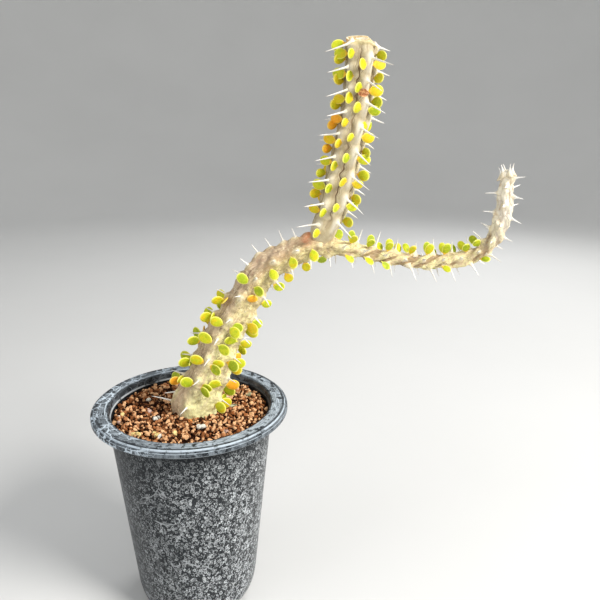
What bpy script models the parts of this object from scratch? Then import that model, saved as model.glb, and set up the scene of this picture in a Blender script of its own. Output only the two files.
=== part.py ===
"""A potted alluaudia: one grey, spiny stem that arches out of its pot and turns up at the tip, with a sturdier
branch standing on the bend and cut off flat, and small round leaves in pairs under the spines.

Blender 4.5, in metres, +Z up. The origin is the middle of the pot's foot, and -Y is the side that is looked at.
"""

import math
import random

import bmesh
import bpy
import numpy as np
from mathutils import Matrix, Vector
from mathutils.bvhtree import BVHTree
from mathutils.geometry import delaunay_2d_cdt

MM = 0.001
GAP = 0.3 * MM

# The pot: a deep moulded nursery pot with a wide flat rim.
POT_HEIGHT = 135 * MM
RIM_RADIUS = 60 * MM
RIM_INNER_RADIUS = 49.5 * MM
RIM_SHOULDER = 2.2 * MM
LIP_DROP = 4.2 * MM
LIP_THICKNESS = 1.6 * MM
NECK_RADIUS = 50.6 * MM
HEEL_RADIUS = 38.8 * MM
HEEL_HEIGHT = 12 * MM
FOOT_RADIUS = 33.5 * MM
FOOT_RING_WIDTH = 5 * MM
FOOT_RECESS = 2.2 * MM
NOTCH_DEPTH = 1.6 * MM
FLOOR_TOP = 4.4 * MM
PAD_RADIUS = 9 * MM
WALL = 2 * MM
LEDGE_DROP = 4 * MM
THROAT_WALL = 1 * MM
DRAIN_COUNT = 6
DRAIN_RADIUS = 4 * MM
DRAIN_CIRCLE = 19 * MM
POT_SIDES = 48

# The soil: fine baked-clay granules, filled to just under the rim.
SOIL_TOP = 129 * MM
GRAIN_PITCH = 3.4 * MM
GRAIN_RELIEF = 1.1 * MM
SOIL_SEED = 11

# The buried end of the stem stands upright in a plain hole in the soil.
BURIED_DEPTH = 36 * MM
HOLE_CLEARANCE = 0.4 * MM
STEM_FOOT = (2.5, 0.0)
STEM_FOOT_RADIUS = 13.9

# The stems' centre lines, as x, y, z and radius in millimetres from the soil to the tip.
MAIN_STEM = (
    (2.5, 0.0, 93.0, 11.5),
    (2.5, 0.0, 100.0, 12.9),
    (2.5, 0.0, 122.0, 13.3),
    (2.8, 0.0, 132.0, 13.9),
    (5.6, 0.0, 141.0, 13.6),
    (11.7, 0.0, 154.4, 12.7),
    (20.4, -1.0, 176.7, 11.4),
    (32.2, -2.0, 197.8, 10.2),
    (44.2, -2.0, 217.4, 8.8),
    (59.5, -1.0, 228.6, 7.9),
    (73.5, 0.0, 234.2, 6.6),
    (86.0, 1.0, 234.0, 5.0),
    (99.9, 3.0, 231.1, 4.2),
    (116.7, 5.0, 227.3, 4.2),
    (134.2, 7.0, 224.9, 4.2),
    (148.7, 8.0, 224.6, 4.2),
    (163.4, 8.0, 226.3, 4.2),
    (173.3, 7.0, 231.1, 4.4),
    (180.0, 5.0, 239.9, 4.4),
    (182.4, 3.0, 251.9, 4.6),
    (182.3, 1.0, 265.2, 4.4),
    (181.7, 0.0, 274.4, 3.4),
    (181.2, 0.0, 278.6, 1.5),
)
UPRIGHT_BRANCH = (
    (78.4, 0.0, 236.0, 4.6),
    (78.8, 0.0, 239.5, 6.2),
    (79.6, 0.0, 242.5, 7.2),
    (81.0, -0.2, 246.5, 7.8),
    (83.2, -0.5, 252.0, 8.1),
    (87.1, -2.0, 266.7, 8.4),
    (92.0, -4.0, 289.5, 8.1),
    (95.3, -5.5, 309.2, 7.8),
    (96.9, -7.0, 331.9, 7.9),
    (97.0, -8.0, 344.2, 8.5),
)
ROUTE_STEP = 0.25 * MM
RING_STEP = 5.0 * MM
STEM_SIDES = 12
BRANCH_SEAT_GAP = 0.35 * MM
CUT_SLOPE_FRONT = 0.20

# Spines and leaf pairs stand in five ranks: each node is two fifths of a turn on from the one before.
TURN = math.radians(-144.1)
NODES_A_TURN = 5
MAIN_FIRST_NODE = 38.5 * MM
MAIN_FIRST_ANGLE = math.radians(60)
MAIN_PITCH = (15.9 * MM, 10.3 * MM)
MAIN_SEED = 5
UPRIGHT_FIRST_NODE = 10.5 * MM
UPRIGHT_FIRST_ANGLE = math.radians(-40)
UPRIGHT_PITCH = (14.4 * MM, 10.4 * MM)
UPRIGHT_SEED = 23
LONE_SPINES = (
    (47.0 * MM, math.radians(-66)),
    (134.4 * MM, math.radians(-75)),
    (147.8 * MM, math.radians(-100)),
    (161.8 * MM, math.radians(-78)),
)
CROWN_ANGLES = (math.radians(-78), math.radians(8), math.radians(78), math.radians(-170))
CROWN_DROP = 1.2 * MM
BASE_SHARE = 0.15
BASE_ALONG = 37.3 * MM
BASE_SQUEEZE = 0.65
LEAVES_FROM = 52 * MM
UPRIGHT_LEAVES_FROM = 18.5 * MM
BEND_FROM = 0.36
ARCH_FROM = 0.565
LEAVES_TO = 0.86
TIP_BARE = 1.5 * MM
CROWN_LENGTH = 4 * MM
CROWN_LEAN = 2.6

# A spine is a stiff thorn on a small cushion of the stem's own skin.
SPINE_SIDES = 4
SPINE_ROOT = 1.2 * MM
SPINE_CUSHION = 1.0 * MM
SPINE_RADIUS = 0.72 * MM
LOWEST_SHARE = 0.135
LOWEST_SPINE = 14.0 * MM
LOWEST_LEAN = 0.12
ARCH_SPINE = 8.8 * MM
UNDER_ARCH_LEAN = 0.33
TIP_SPINE = 6.8 * MM
CROWN_SPINE = 5.0 * MM

# A leaf is a small fleshy disc, thickest in the middle, with a short neck sunk into the stem.
LEAF_ROOT = 1.3 * MM
LEAF_NECK = 0.9 * MM
LEAF_NECK_HALF_WIDTH = 0.95 * MM
LEAF_THICKNESS = 1.3 * MM
LEAF_WIDTH_SHARE = 0.77
TRUNK_LEAF = 7.7 * MM
BEND_LEAF = 6.5 * MM
ARCH_LEAF = 6.3 * MM
UNDER_ARCH_LEAF = 5.5 * MM
TOP_LEAF = (108.3 * MM, math.radians(-88))
UPRIGHT_LEAF = 6.5 * MM
LEAF_CLEARANCE = 0.6 * MM
FACE_FROM = math.radians(55)
UPRIGHT_FACE_FROM = math.radians(32)
EXTRA_LEAF_SPLAY = 38
EXTRA_LEAF_RISE = 2.6
EXTRA_LEAF_SHARE = 0.82


def clear_scene():
    for old in list(bpy.data.objects):
        bpy.data.objects.remove(old, do_unlink=True)


def material(name, colour, roughness):
    made = bpy.data.materials.new(name)
    made.use_nodes = True
    shader = made.node_tree.nodes["Principled BSDF"]
    shader.inputs["Base Color"].default_value = (*colour, 1.0)
    shader.inputs["Roughness"].default_value = roughness
    shader.inputs["Metallic"].default_value = 0.0
    return made


def object_from(name, points, faces):
    mesh = bpy.data.meshes.new(name)
    mesh.from_pydata([tuple(p) for p in points], [], faces)
    mesh.validate()
    made = bpy.data.objects.new(name, mesh)
    bpy.context.scene.collection.objects.link(made)
    return made


def face_outwards(thing):
    shape = bmesh.new()
    shape.from_mesh(thing.data)
    bmesh.ops.recalc_face_normals(shape, faces=shape.faces)
    shape.to_mesh(thing.data)
    shape.free()


def shade(thing, finish, sharp_angle):
    thing.data.materials.clear()
    thing.data.materials.append(finish)
    thing.data.shade_smooth()
    thing.data.set_sharp_from_angle(angle=math.radians(sharp_angle))


def apply_modifiers(thing):
    graph = bpy.context.evaluated_depsgraph_get()
    final = bpy.data.meshes.new_from_object(thing.evaluated_get(graph))
    thing.modifiers.clear()
    thing.data = final


def cut(thing, cutter):
    """Takes the cutter's shape out of thing, for good, and removes the cutter."""
    knife = thing.modifiers.new("cut", "BOOLEAN")
    knife.operation = "DIFFERENCE"
    knife.solver = "EXACT"
    knife.object = cutter
    apply_modifiers(thing)
    bpy.data.objects.remove(cutter)


def turned(name, profile, sides):
    """A round solid from the (radius, height) points of its section, from the axis round the outside to the axis."""
    points = []
    rings = []
    for radius, height in profile:
        if radius == 0:
            rings.append([len(points)])
            points.append((0.0, 0.0, height))
            continue
        rings.append(list(range(len(points), len(points) + sides)))
        for side in range(sides):
            angle = 2 * math.pi * side / sides
            points.append((radius * math.cos(angle), radius * math.sin(angle), height))
    faces = []
    for low, high in zip(rings, rings[1:]):
        for side in range(sides):
            after = (side + 1) % sides
            if len(low) == 1:
                faces.append((low[0], high[after], high[side]))
            elif len(high) == 1:
                faces.append((low[side], low[after], high[0]))
            else:
                faces.append((low[side], low[after], high[after], high[side]))
    made = object_from(name, points, faces)
    face_outwards(made)
    return made


def wall_radius(height):
    """The outer radius of the pot's tapering side."""
    share = (height - HEEL_HEIGHT) / (POT_HEIGHT - WALL - HEEL_HEIGHT)
    return HEEL_RADIUS + share * (NECK_RADIUS - HEEL_RADIUS)


def build_pot(finish):
    top = POT_HEIGHT
    lip_bottom = top - LIP_DROP
    ledge = top - LEDGE_DROP
    profile = [
        (0, 0),
        (PAD_RADIUS, 0),
        (PAD_RADIUS + 1.5 * MM, FOOT_RECESS),
        (FOOT_RADIUS - FOOT_RING_WIDTH - 1.5 * MM, FOOT_RECESS),
        (FOOT_RADIUS - FOOT_RING_WIDTH, 0),
        (FOOT_RADIUS, 0),
        (FOOT_RADIUS + 2.6 * MM, 2.4 * MM),
        (HEEL_RADIUS - 1.0 * MM, 7 * MM),
        (HEEL_RADIUS, HEEL_HEIGHT),
        (NECK_RADIUS, top - WALL),
        (RIM_RADIUS - LIP_THICKNESS, top - WALL),
        (RIM_RADIUS - LIP_THICKNESS, lip_bottom),
        (RIM_RADIUS, lip_bottom),
        (RIM_RADIUS, top - 1.7 * MM),
        (RIM_RADIUS - 0.6 * MM, top - 1.1 * MM),
        (RIM_RADIUS - 1.8 * MM, top - 0.9 * MM),
        (RIM_RADIUS - RIM_SHOULDER, top),
        (RIM_INNER_RADIUS + 0.7 * MM, top),
        (RIM_INNER_RADIUS, top - 0.7 * MM),
        (NECK_RADIUS - THROAT_WALL - 0.4 * MM, ledge),
        (wall_radius(ledge) - WALL, ledge - 0.7 * MM),
        (wall_radius(HEEL_HEIGHT) - WALL, HEEL_HEIGHT),
        (FOOT_RADIUS, FLOOR_TOP),
        (0, FLOOR_TOP),
    ]
    pot = turned("pot", profile, POT_SIDES)
    for number in range(DRAIN_COUNT):
        angle = 2 * math.pi * (number + 0.5) / DRAIN_COUNT
        outwards = Vector((math.cos(angle), math.sin(angle), 0))
        hole = turned("drain", [(0, -1 * MM), (DRAIN_RADIUS, -1 * MM), (DRAIN_RADIUS, 8 * MM), (0, 8 * MM)], 12)
        hole.location = outwards * DRAIN_CIRCLE
        hole.rotation_euler = (0, 0, angle + math.radians(7))
        bpy.context.view_layer.update()
        cut(pot, hole)
        notch = box_cutter(9 * MM, 8 * MM, 2 * NOTCH_DEPTH)
        notch.location = outwards * (FOOT_RADIUS - FOOT_RING_WIDTH / 2)
        notch.rotation_euler = (0, 0, angle)
        bpy.context.view_layer.update()
        cut(pot, notch)
    shade(pot, finish, 35)
    return pot


def box_cutter(length, width, height):
    shape = bmesh.new()
    bmesh.ops.create_cube(shape, size=1.0)
    bmesh.ops.scale(shape, vec=(length, width, height), verts=shape.verts)
    mesh = bpy.data.meshes.new("notch")
    shape.to_mesh(mesh)
    shape.free()
    made = bpy.data.objects.new("notch", mesh)
    bpy.context.scene.collection.objects.link(made)
    return made


def build_soil(finish):
    """A plug of soil that fills the pot, with a top of jagged granules and a round hole for the stem."""
    draw = random.Random(SOIL_SEED)
    centre = Vector((STEM_FOOT[0] * MM, STEM_FOOT[1] * MM))
    hole_radius = STEM_FOOT_RADIUS * MM + HOLE_CLEARANCE
    hole_sides = 2 * STEM_SIDES
    top_radius = wall_radius(SOIL_TOP) - WALL - GAP

    def ring(radius, sides, middle):
        turns = [2 * math.pi * k / sides for k in range(sides)]
        return [middle + Vector((math.cos(t), math.sin(t))) * radius for t in turns]

    outer = ring(top_radius, POT_SIDES, Vector((0, 0)))
    inner = ring(hole_radius, hole_sides, centre)
    flat = outer + inner
    row_height = GRAIN_PITCH * math.sqrt(3) / 2
    rows = math.ceil(top_radius / row_height)
    for row in range(-rows, rows + 1):
        shift = GRAIN_PITCH / 2 if row % 2 else 0
        for column in range(-rows, rows + 1):
            jitter = Vector((draw.uniform(-1, 1), draw.uniform(-1, 1))) * GRAIN_PITCH * 0.22
            spot = Vector((column * GRAIN_PITCH + shift, row * row_height)) + jitter
            if spot.length > top_radius - 1.5 * MM or (spot - centre).length < hole_radius + 1.2 * MM:
                continue
            flat.append(spot)
    edges = [(k, (k + 1) % POT_SIDES) for k in range(POT_SIDES)]
    edges += [(POT_SIDES + k, POT_SIDES + (k + 1) % hole_sides) for k in range(hole_sides)]
    spots, _, triangles, _, _, _ = delaunay_2d_cdt(flat, edges, [], 0, 1e-7)
    border = POT_SIDES + hole_sides
    points = []
    for number, spot in enumerate(spots):
        rise = 0 if number < border else draw.uniform(-GRAIN_RELIEF, GRAIN_RELIEF)
        points.append((spot.x, spot.y, SOIL_TOP + rise))
    faces = []
    for corners in triangles:
        middle = sum((spots[c] for c in corners), Vector((0, 0))) / 3
        if (middle - centre).length > hole_radius * math.cos(math.pi / hole_sides) - 0.1 * MM:
            faces.append(tuple(corners))

    def add_ring(radius, sides, middle, height):
        first = len(points)
        points.extend((p.x, p.y, height) for p in ring(radius, sides, middle))
        return list(range(first, first + sides))

    def join(first, second):
        for k in range(len(first)):
            after = (k + 1) % len(first)
            faces.append((first[k], first[after], second[after], second[k]))

    origin = Vector((0, 0))
    floor = FLOOR_TOP + GAP
    heel = add_ring(wall_radius(HEEL_HEIGHT) - WALL - GAP, POT_SIDES, origin, HEEL_HEIGHT)
    base = add_ring(FOOT_RADIUS - GAP, POT_SIDES, origin, floor)
    join(list(range(POT_SIDES)), heel)
    join(heel, base)
    faces.append(tuple(base))
    pit_floor = SOIL_TOP - BURIED_DEPTH - GAP
    pit = add_ring(hole_radius, hole_sides, centre, pit_floor)
    join(list(range(POT_SIDES, border)), pit)
    faces.append(tuple(pit))
    soil = object_from("soil", points, faces)
    face_outwards(soil)
    shade(soil, finish, 20)
    return soil


class Stem:
    """A stem's centre line, with its radius and its front and side directions at any length along it."""

    def __init__(self, knots):
        knots = np.array(knots) * MM
        padded = np.vstack([2 * knots[0] - knots[1], knots, 2 * knots[-1] - knots[-2]])
        fine = []
        for a, b, c, d in zip(padded, padded[1:], padded[2:], padded[3:]):
            count = max(2, int(np.linalg.norm((c - b)[:3]) / ROUTE_STEP))
            for t in np.linspace(0, 1, count, endpoint=False):
                fine.append(0.5 * (2 * b + (c - a) * t + (2 * a - 5 * b + 4 * c - d) * t**2 + (3 * b - a - 3 * c + d) * t**3))
        fine.append(knots[-1])
        fine = np.array(fine)
        self.places = fine[:, :3]
        self.radii = fine[:, 3]
        steps = np.linalg.norm(np.diff(self.places, axis=0), axis=1)
        self.lengths = np.concatenate([[0], np.cumsum(steps)])
        self.length = float(self.lengths[-1])

    def radius(self, along):
        return float(np.interp(along, self.lengths, self.radii))

    def point(self, along):
        return Vector([float(np.interp(along, self.lengths, self.places[:, k])) for k in range(3)])

    def frame(self, along):
        """(place, tangent, front, side): front looks to -Y, and side is to the right of a stem that goes up."""
        ahead = self.point(min(along + 1.5 * MM, self.length))
        behind = self.point(max(along - 1.5 * MM, 0))
        tangent = (ahead - behind).normalized()
        front = Vector((0, -1, 0))
        front = (front - tangent * front.dot(tangent)).normalized()
        return self.point(along), tangent, front, tangent.cross(front)

    def outwards(self, along, angle):
        _, _, front, side = self.frame(along)
        return front * math.cos(angle) + side * math.sin(angle)

    def clearance(self, place):
        """How far a place is outside this stem's skin."""
        away = np.linalg.norm(self.places - np.array(place), axis=1) - self.radii
        return float(away.min())


def stem_tube(name, stem, extra=0.0, cut_slope=0.0):
    """A closed round tube along a stem, made fatter by extra, its end sloping down to the front."""
    count = round(stem.length / RING_STEP)
    sides = STEM_SIDES
    points = []
    for number in range(count + 1):
        along = stem.length * number / count
        place, tangent, front, side = stem.frame(along)
        radius = stem.radius(along) + extra
        slope = cut_slope if number == count else 0.0
        for corner in range(sides):
            angle = 2 * math.pi * corner / sides
            offset = front * math.cos(angle) + side * math.sin(angle) - tangent * slope * math.cos(angle)
            points.append(place + offset * radius)
    faces = [tuple(range(sides)), tuple(range(count * sides, (count + 1) * sides))]
    for number in range(count):
        low = number * sides
        for corner in range(sides):
            after = (corner + 1) % sides
            faces.append((low + corner, low + after, low + sides + after, low + sides + corner))
    made = object_from(name, points, faces)
    face_outwards(made)
    return made


def spine_solid(foot, direction, tangent, length, cushion_radius):
    """A thorn from a point on the skin: a low cushion that narrows quickly into a straight tapering spike."""
    across = direction.cross(tangent).normalized()
    along = across.cross(direction).normalized()
    levels = ((-SPINE_ROOT, cushion_radius, 1.4), (SPINE_CUSHION, SPINE_RADIUS, 1.1))
    points = []
    for height, radius, stretch in levels:
        for corner in range(SPINE_SIDES):
            angle = 2 * math.pi * corner / SPINE_SIDES
            offset = along * math.cos(angle) * radius * stretch + across * math.sin(angle) * radius
            points.append(foot + direction * height + offset)
    tip = len(points)
    points.append(foot + direction * length)
    faces = [tuple(range(SPINE_SIDES))]
    for corner in range(SPINE_SIDES):
        after = (corner + 1) % SPINE_SIDES
        faces.append((corner, after, SPINE_SIDES + after, SPINE_SIDES + corner))
        faces.append((SPINE_SIDES + corner, SPINE_SIDES + after, tip))
    return points, faces


def leaf_outline(length):
    """Half of a leaf's edge, as distance from the stem and half width, from its sunk foot to its round end."""
    wide = length * LEAF_WIDTH_SHARE / 2
    return (
        (-LEAF_ROOT, LEAF_NECK_HALF_WIDTH),
        (LEAF_NECK + length * 0.14, wide * 0.70),
        (LEAF_NECK + length * 0.50, wide),
        (LEAF_NECK + length * 0.84, wide * 0.74),
    )


def leaf_solid(foot, direction, across, length):
    """A fleshy leaf: an oval edge with a raised middle on both faces."""
    normal = direction.cross(across).normalized()
    half = leaf_outline(length)
    tip = (LEAF_NECK + length, 0.0)
    edge = [*half, tip, *[(x, -y) for x, y in reversed(half)]]
    points = [foot + direction * x + across * y for x, y in edge]
    middle = foot + direction * (LEAF_NECK + length * 0.5)
    points += [middle + normal * LEAF_THICKNESS / 2, middle - normal * LEAF_THICKNESS / 2]
    count = len(edge)
    faces = []
    for number in range(count):
        after = (number + 1) % count
        faces.append((number, after, count))
        faces.append((after, number, count + 1))
    return points, faces


def leaf_hands(is_main, along, share, angle, chance):
    """The sides that a node has a leaf on, and 2 or -2 for a second, younger one there.

    Few grow under the arch, and none on the back of the bend or on the young tip.
    """
    if not is_main:
        return (-1, 1) if along > UPRIGHT_LEAVES_FROM else (1,) if along < UPRIGHT_FIRST_NODE + 1 * MM else ()
    upwards = -math.sin(angle)
    facing = math.cos(angle)
    if along < LEAVES_FROM or share > LEAVES_TO:
        return ()
    if share > ARCH_FROM:
        if upwards > 0.6:
            return (-1, 1)
        if facing > 0:
            return (-1,) if upwards < -0.5 and chance > -0.4 else ()
        return (1,) if chance > 0 else ()
    if share > BEND_FROM + 0.07 and facing > 0.3:
        return (1,)
    if share > BEND_FROM and (upwards > 0.3 or facing < 0):
        return ()
    if share > BEND_FROM:
        return (-1, 1)
    return (-1, 1, 2) if chance > 0 else (-1, 1, -2) if chance < -0.45 else (-1, 1)


def nodes_of(stem, is_main):
    """Yields each node's length along the stem, its angle round it, and the draws that shape what grows there."""
    first, pitches, angle, seed = (
        (MAIN_FIRST_NODE, MAIN_PITCH, MAIN_FIRST_ANGLE, MAIN_SEED)
        if is_main
        else (UPRIGHT_FIRST_NODE, UPRIGHT_PITCH, UPRIGHT_FIRST_ANGLE, UPRIGHT_SEED)
    )
    draw = random.Random(seed)
    if is_main:
        for along, lone_angle in LONE_SPINES:
            yield along, lone_angle, along / stem.length, [0.0] * 14
    along = first
    while along < stem.length - TIP_BARE:
        share = along / stem.length
        jitter = [draw.uniform(-1, 1) for _ in range(14)]
        node = along + jitter[0] * 0.7 * MM
        if is_main and share < BASE_SHARE and math.sin(angle) < 0:
            node = BASE_ALONG + (node - BASE_ALONG) * BASE_SQUEEZE
        yield node, angle + jitter[1] * 0.1, share, jitter
        pitch = pitches[0] + (pitches[1] - pitches[0]) * share
        along += pitch / NODES_A_TURN
        angle += TURN
    if is_main:
        for crown_angle in CROWN_ANGLES:
            yield stem.length - CROWN_DROP, crown_angle, 1.0, [0.0] * 14


def leaf_splay(is_main, share, angle, hand):
    """How far a leaf leans away from its spine, in degrees."""
    if is_main and share > ARCH_FROM:
        return 14 if math.sin(angle) < 0 else -8
    if is_main:
        return 26 + 30 * abs(math.cos(angle)) + EXTRA_LEAF_SPLAY * (abs(hand) > 1)
    return 44 + 20 * hand * math.sin(angle) * max(math.cos(angle), 0) ** 0.5


def faced(is_main, angle, side, splay):
    """A leaf's splay, changed where the leaf would point straight ahead, so that its face shows in front."""
    heading = (angle + side * splay + math.pi) % (2 * math.pi) - math.pi
    turned = math.copysign(FACE_FROM, heading) if is_main else -UPRIGHT_FACE_FROM
    if abs(heading) > abs(turned):
        return splay
    return splay + side * (turned - heading)


def leaf_length(is_main, share, angle):
    if not is_main:
        return UPRIGHT_LEAF
    if share < ARCH_FROM:
        return TRUNK_LEAF if share < BEND_FROM else BEND_LEAF
    return ARCH_LEAF if math.sin(angle) < 0 else UNDER_ARCH_LEAF


def main_spine_length(share):
    """Spines get shorter up the trunk, are longer again on the arch, and short at the young tip."""
    if share > LEAVES_TO:
        return TIP_SPINE
    if share > ARCH_FROM:
        return ARCH_SPINE
    return (9.0 - 3.2 * share) * MM


def node_shapes(stem, is_main):
    """Yields ("spine" or "leaf", points, faces) for everything that grows on a stem."""
    for along, angle, share, jitter in nodes_of(stem, is_main):
        place, tangent, _, _ = stem.frame(along)
        radius = stem.radius(along)
        out = stem.outwards(along, angle)
        round_about = tangent.cross(out)
        foot = place + out * radius
        if is_main:
            length = main_spine_length(share) + 1.4 * MM * jitter[2]
            lean = 0.15 * jitter[3] - (0.25 if share < 0.3 and math.sin(angle) < 0 else 0.0)
            sideways = 0.2 * jitter[4]
            cushion = 1.5 * MM
            if share < LOWEST_SHARE and math.sin(angle) < 0:
                lean, length = LOWEST_LEAN, LOWEST_SPINE
            if ARCH_FROM < share < LEAVES_TO and math.sin(angle) > 0.3:
                lean += UNDER_ARCH_LEAN
        else:
            length = ((13.6 if math.cos(angle) > 0 else 8.6) + 1.2 * jitter[2]) * MM
            lean = -0.34 + 0.05 * jitter[3]
            sideways = max(math.cos(angle), 0) * 0.95 * math.sin(angle) + 0.1 * jitter[4]
            cushion = 2.0 * MM
        if is_main and along > stem.length - CROWN_LENGTH:
            lean = CROWN_LEAN
            length = CROWN_SPINE
        direction = (out + tangent * lean + round_about * sideways).normalized()
        yield ("spine", *spine_solid(foot, direction, tangent, length, cushion))
        for hand in leaf_hands(is_main, along, share, angle, jitter[13]):
            shape = jitter[5:9] if hand < 0 else jitter[9:13]
            side, extra = (1 if hand > 0 else -1), abs(hand) > 1
            below = along - (4.4 + 1.2 * shape[0] - EXTRA_LEAF_RISE * extra) * MM
            apart = (1.3 if is_main and share > ARCH_FROM else 2.2) * MM
            foot_angle = angle + side * apart / stem.radius(below)
            leaf_out = stem.outwards(below, foot_angle)
            leaf_place, leaf_tangent, _, _ = stem.frame(below)
            leaf_round = leaf_tangent.cross(leaf_out)
            splay = math.radians(leaf_splay(is_main, share, angle, hand) + 12 * shape[1])
            if not extra and (share < ARCH_FROM or not is_main):
                splay = faced(is_main, foot_angle, side, splay)
            heading = leaf_out * math.cos(splay) + leaf_round * side * math.sin(splay)
            under = is_main and share > ARCH_FROM and math.sin(angle) > 0
            heading = (heading + leaf_tangent * (0.2 * shape[2] + 1.5 * under)).normalized()
            width_way = (leaf_tangent + leaf_out * 0.35 * shape[3]).normalized()
            width_way = (width_way - heading * width_way.dot(heading)).normalized()
            leaf_foot = leaf_place + leaf_out * stem.radius(below)
            size = leaf_length(is_main, share, angle) + 0.7 * MM * shape[2]
            size *= EXTRA_LEAF_SHARE if extra else 1
            yield ("leaf", *leaf_solid(leaf_foot, heading, width_way, size))
    if not is_main:
        place, tangent, _, _ = stem.frame(TOP_LEAF[0])
        out = stem.outwards(*TOP_LEAF)
        heading = (out - tangent * 0.25).normalized()
        width_way = (tangent - heading * tangent.dot(heading)).normalized()
        yield ("leaf", *leaf_solid(place + out * stem.radius(TOP_LEAF[0]), heading, width_way, UPRIGHT_LEAF))


def grow(tube, shapes, keep):
    """Joins every shape that keep() lets through to its tube, as one solid."""
    group = bpy.data.collections.new(tube.name + "_growth")
    bpy.context.scene.collection.children.link(group)
    grown = []
    for number, (kind, points, faces) in enumerate(shapes):
        if not keep(points, faces):
            continue
        piece = object_from(f"{tube.name}_{kind}_{number}", points, faces)
        face_outwards(piece)
        bpy.context.scene.collection.objects.unlink(piece)
        group.objects.link(piece)
        grown.append(piece)
    joined = tube.modifiers.new("join", "BOOLEAN")
    joined.operation = "UNION"
    joined.solver = "EXACT"
    joined.operand_type = "COLLECTION"
    joined.collection = group
    apply_modifiers(tube)
    for piece in grown:
        bpy.data.objects.remove(piece)
    bpy.data.collections.remove(group)


def build_plant(main_finish, upright_finish):
    """The main stem, and the branch that stands on its bend with a hair's gap between them."""
    main = Stem(MAIN_STEM)
    upright = Stem(UPRIGHT_BRANCH)
    soil_surface = SOIL_TOP + GRAIN_RELIEF + LEAF_CLEARANCE

    main_tube = stem_tube("main_stem", main)
    upright_tube = stem_tube("upright_branch", upright, cut_slope=CUT_SLOPE_FRONT)
    cut(upright_tube, stem_tube("seat", main, extra=BRANCH_SEAT_GAP))

    def clear_of_upright(points, faces):
        if min(p.z for p in points) < soil_surface:
            return False
        return min(upright.clearance(p) for p in points) > LEAF_CLEARANCE

    grow(main_tube, node_shapes(main, True), clear_of_upright)

    finished = main_tube.data
    tree = BVHTree.FromPolygons([v.co for v in finished.vertices], [p.vertices for p in finished.polygons])

    def clear_of_main(points, faces):
        if min(main.clearance(p) for p in points) < LEAF_CLEARANCE:
            return False
        swollen = []
        middle = sum(points, Vector()) / len(points)
        for point in points:
            swollen.append(point + (point - middle).normalized() * LEAF_CLEARANCE)
        return not tree.overlap(BVHTree.FromPolygons(swollen, faces))

    grow(upright_tube, node_shapes(upright, False), clear_of_main)
    shade(main_tube, main_finish, 40)
    shade(upright_tube, upright_finish, 40)
    return main_tube, upright_tube


def main():
    clear_scene()
    build_pot(material("pot_plastic", (0.045, 0.052, 0.06), 0.42))
    build_soil(material("clay_granules", (0.30, 0.13, 0.06), 0.95))
    build_plant(
        material("grey_bark", (0.50, 0.41, 0.28), 0.75),
        material("pale_bark", (0.60, 0.54, 0.40), 0.7),
    )


main()
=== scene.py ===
"""A potted alluaudia: a charcoal nursery pot of clay granules, one long stem that arches out of it,
an upright branch that was cut off flat, and the white spines and paired round leaves on both.

The pieces come in the order in which the plant is put together, from the pot up to the leaves.
"""

import math
import random

import bpy
import numpy as np
from mathutils import Matrix, Vector, noise
from mathutils.bvhtree import BVHTree


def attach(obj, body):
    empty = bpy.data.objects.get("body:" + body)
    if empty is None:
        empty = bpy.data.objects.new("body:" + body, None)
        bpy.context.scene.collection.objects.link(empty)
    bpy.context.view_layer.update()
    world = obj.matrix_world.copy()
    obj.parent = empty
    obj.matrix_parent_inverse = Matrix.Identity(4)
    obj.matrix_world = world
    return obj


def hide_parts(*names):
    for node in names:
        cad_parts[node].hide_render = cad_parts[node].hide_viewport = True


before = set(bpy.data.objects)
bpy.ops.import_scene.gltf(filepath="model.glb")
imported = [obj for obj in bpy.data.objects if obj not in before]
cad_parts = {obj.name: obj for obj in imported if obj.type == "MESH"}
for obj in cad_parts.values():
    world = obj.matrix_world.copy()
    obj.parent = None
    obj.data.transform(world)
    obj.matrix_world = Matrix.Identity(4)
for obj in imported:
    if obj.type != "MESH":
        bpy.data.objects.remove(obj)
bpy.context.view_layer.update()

# Pot
# A deep nursery pot, injection-moulded in one shot of charcoal polypropylene. Its flat rim turns down into a
# short lip, and years of watering have left chalky rings and streaks on the half-gloss plastic.
MM = 0.001
POT_HEIGHT = 135 * MM
NECK_RADIUS = 50.6 * MM
HEEL_RADIUS = 38.8 * MM
HEEL_HEIGHT = 12 * MM
POT_WALL = 2 * MM
FOOT_RADIUS = 33.5 * MM
POT_FLOOR = 4.4 * MM
POT_SIDES = 288

# Each corner of the pot's section: radius and height in millimetres, then how far its rounding reaches.
POT_SECTION = (
    (9.0, 0.0, 0.5),
    (10.5, 2.2, 0.5),
    (27.0, 2.2, 0.5),
    (28.5, 0.0, 0.4),
    (33.5, 0.0, 0.8),
    (36.1, 2.4, 1.2),
    (37.8, 7.0, 2.0),
    (38.8, 12.0, 1.5),
    (50.6, 133.0, 0.6),
    (58.4, 133.0, 0.3),
    (58.4, 130.9, 0.2),
    (58.8, 130.8, 0.1),
    (60.0, 130.8, 0.4),
    (60.0, 133.3, 0.5),
    (59.4, 133.9, 0.3),
    (58.4, 134.0, 0.2),
    (58.2, 135.0, 0.45),
    (51.6, 135.0, 0.4),
    (51.2, 134.6, 0.15),
    (50.5, 134.7, 0.2),
    (49.5, 134.3, 0.5),
    (49.2, 131.2, 0.4),
    (48.4, 130.4, 0.4),
    (36.8, 12.0, 1.5),
    (33.5, 4.4, 1.0),
)
CORNER_STEPS = 4
CURVE_MOST = 0.42
RUN_IN = 1.7
RUN_IN_MOST = 0.48


def towards(corner, other, reach, most):
    """The point at reach from a corner towards its neighbour, but no further than this share of the way."""
    way = other - corner
    return corner + way.normalized() * min(reach, way.length * most)


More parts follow.
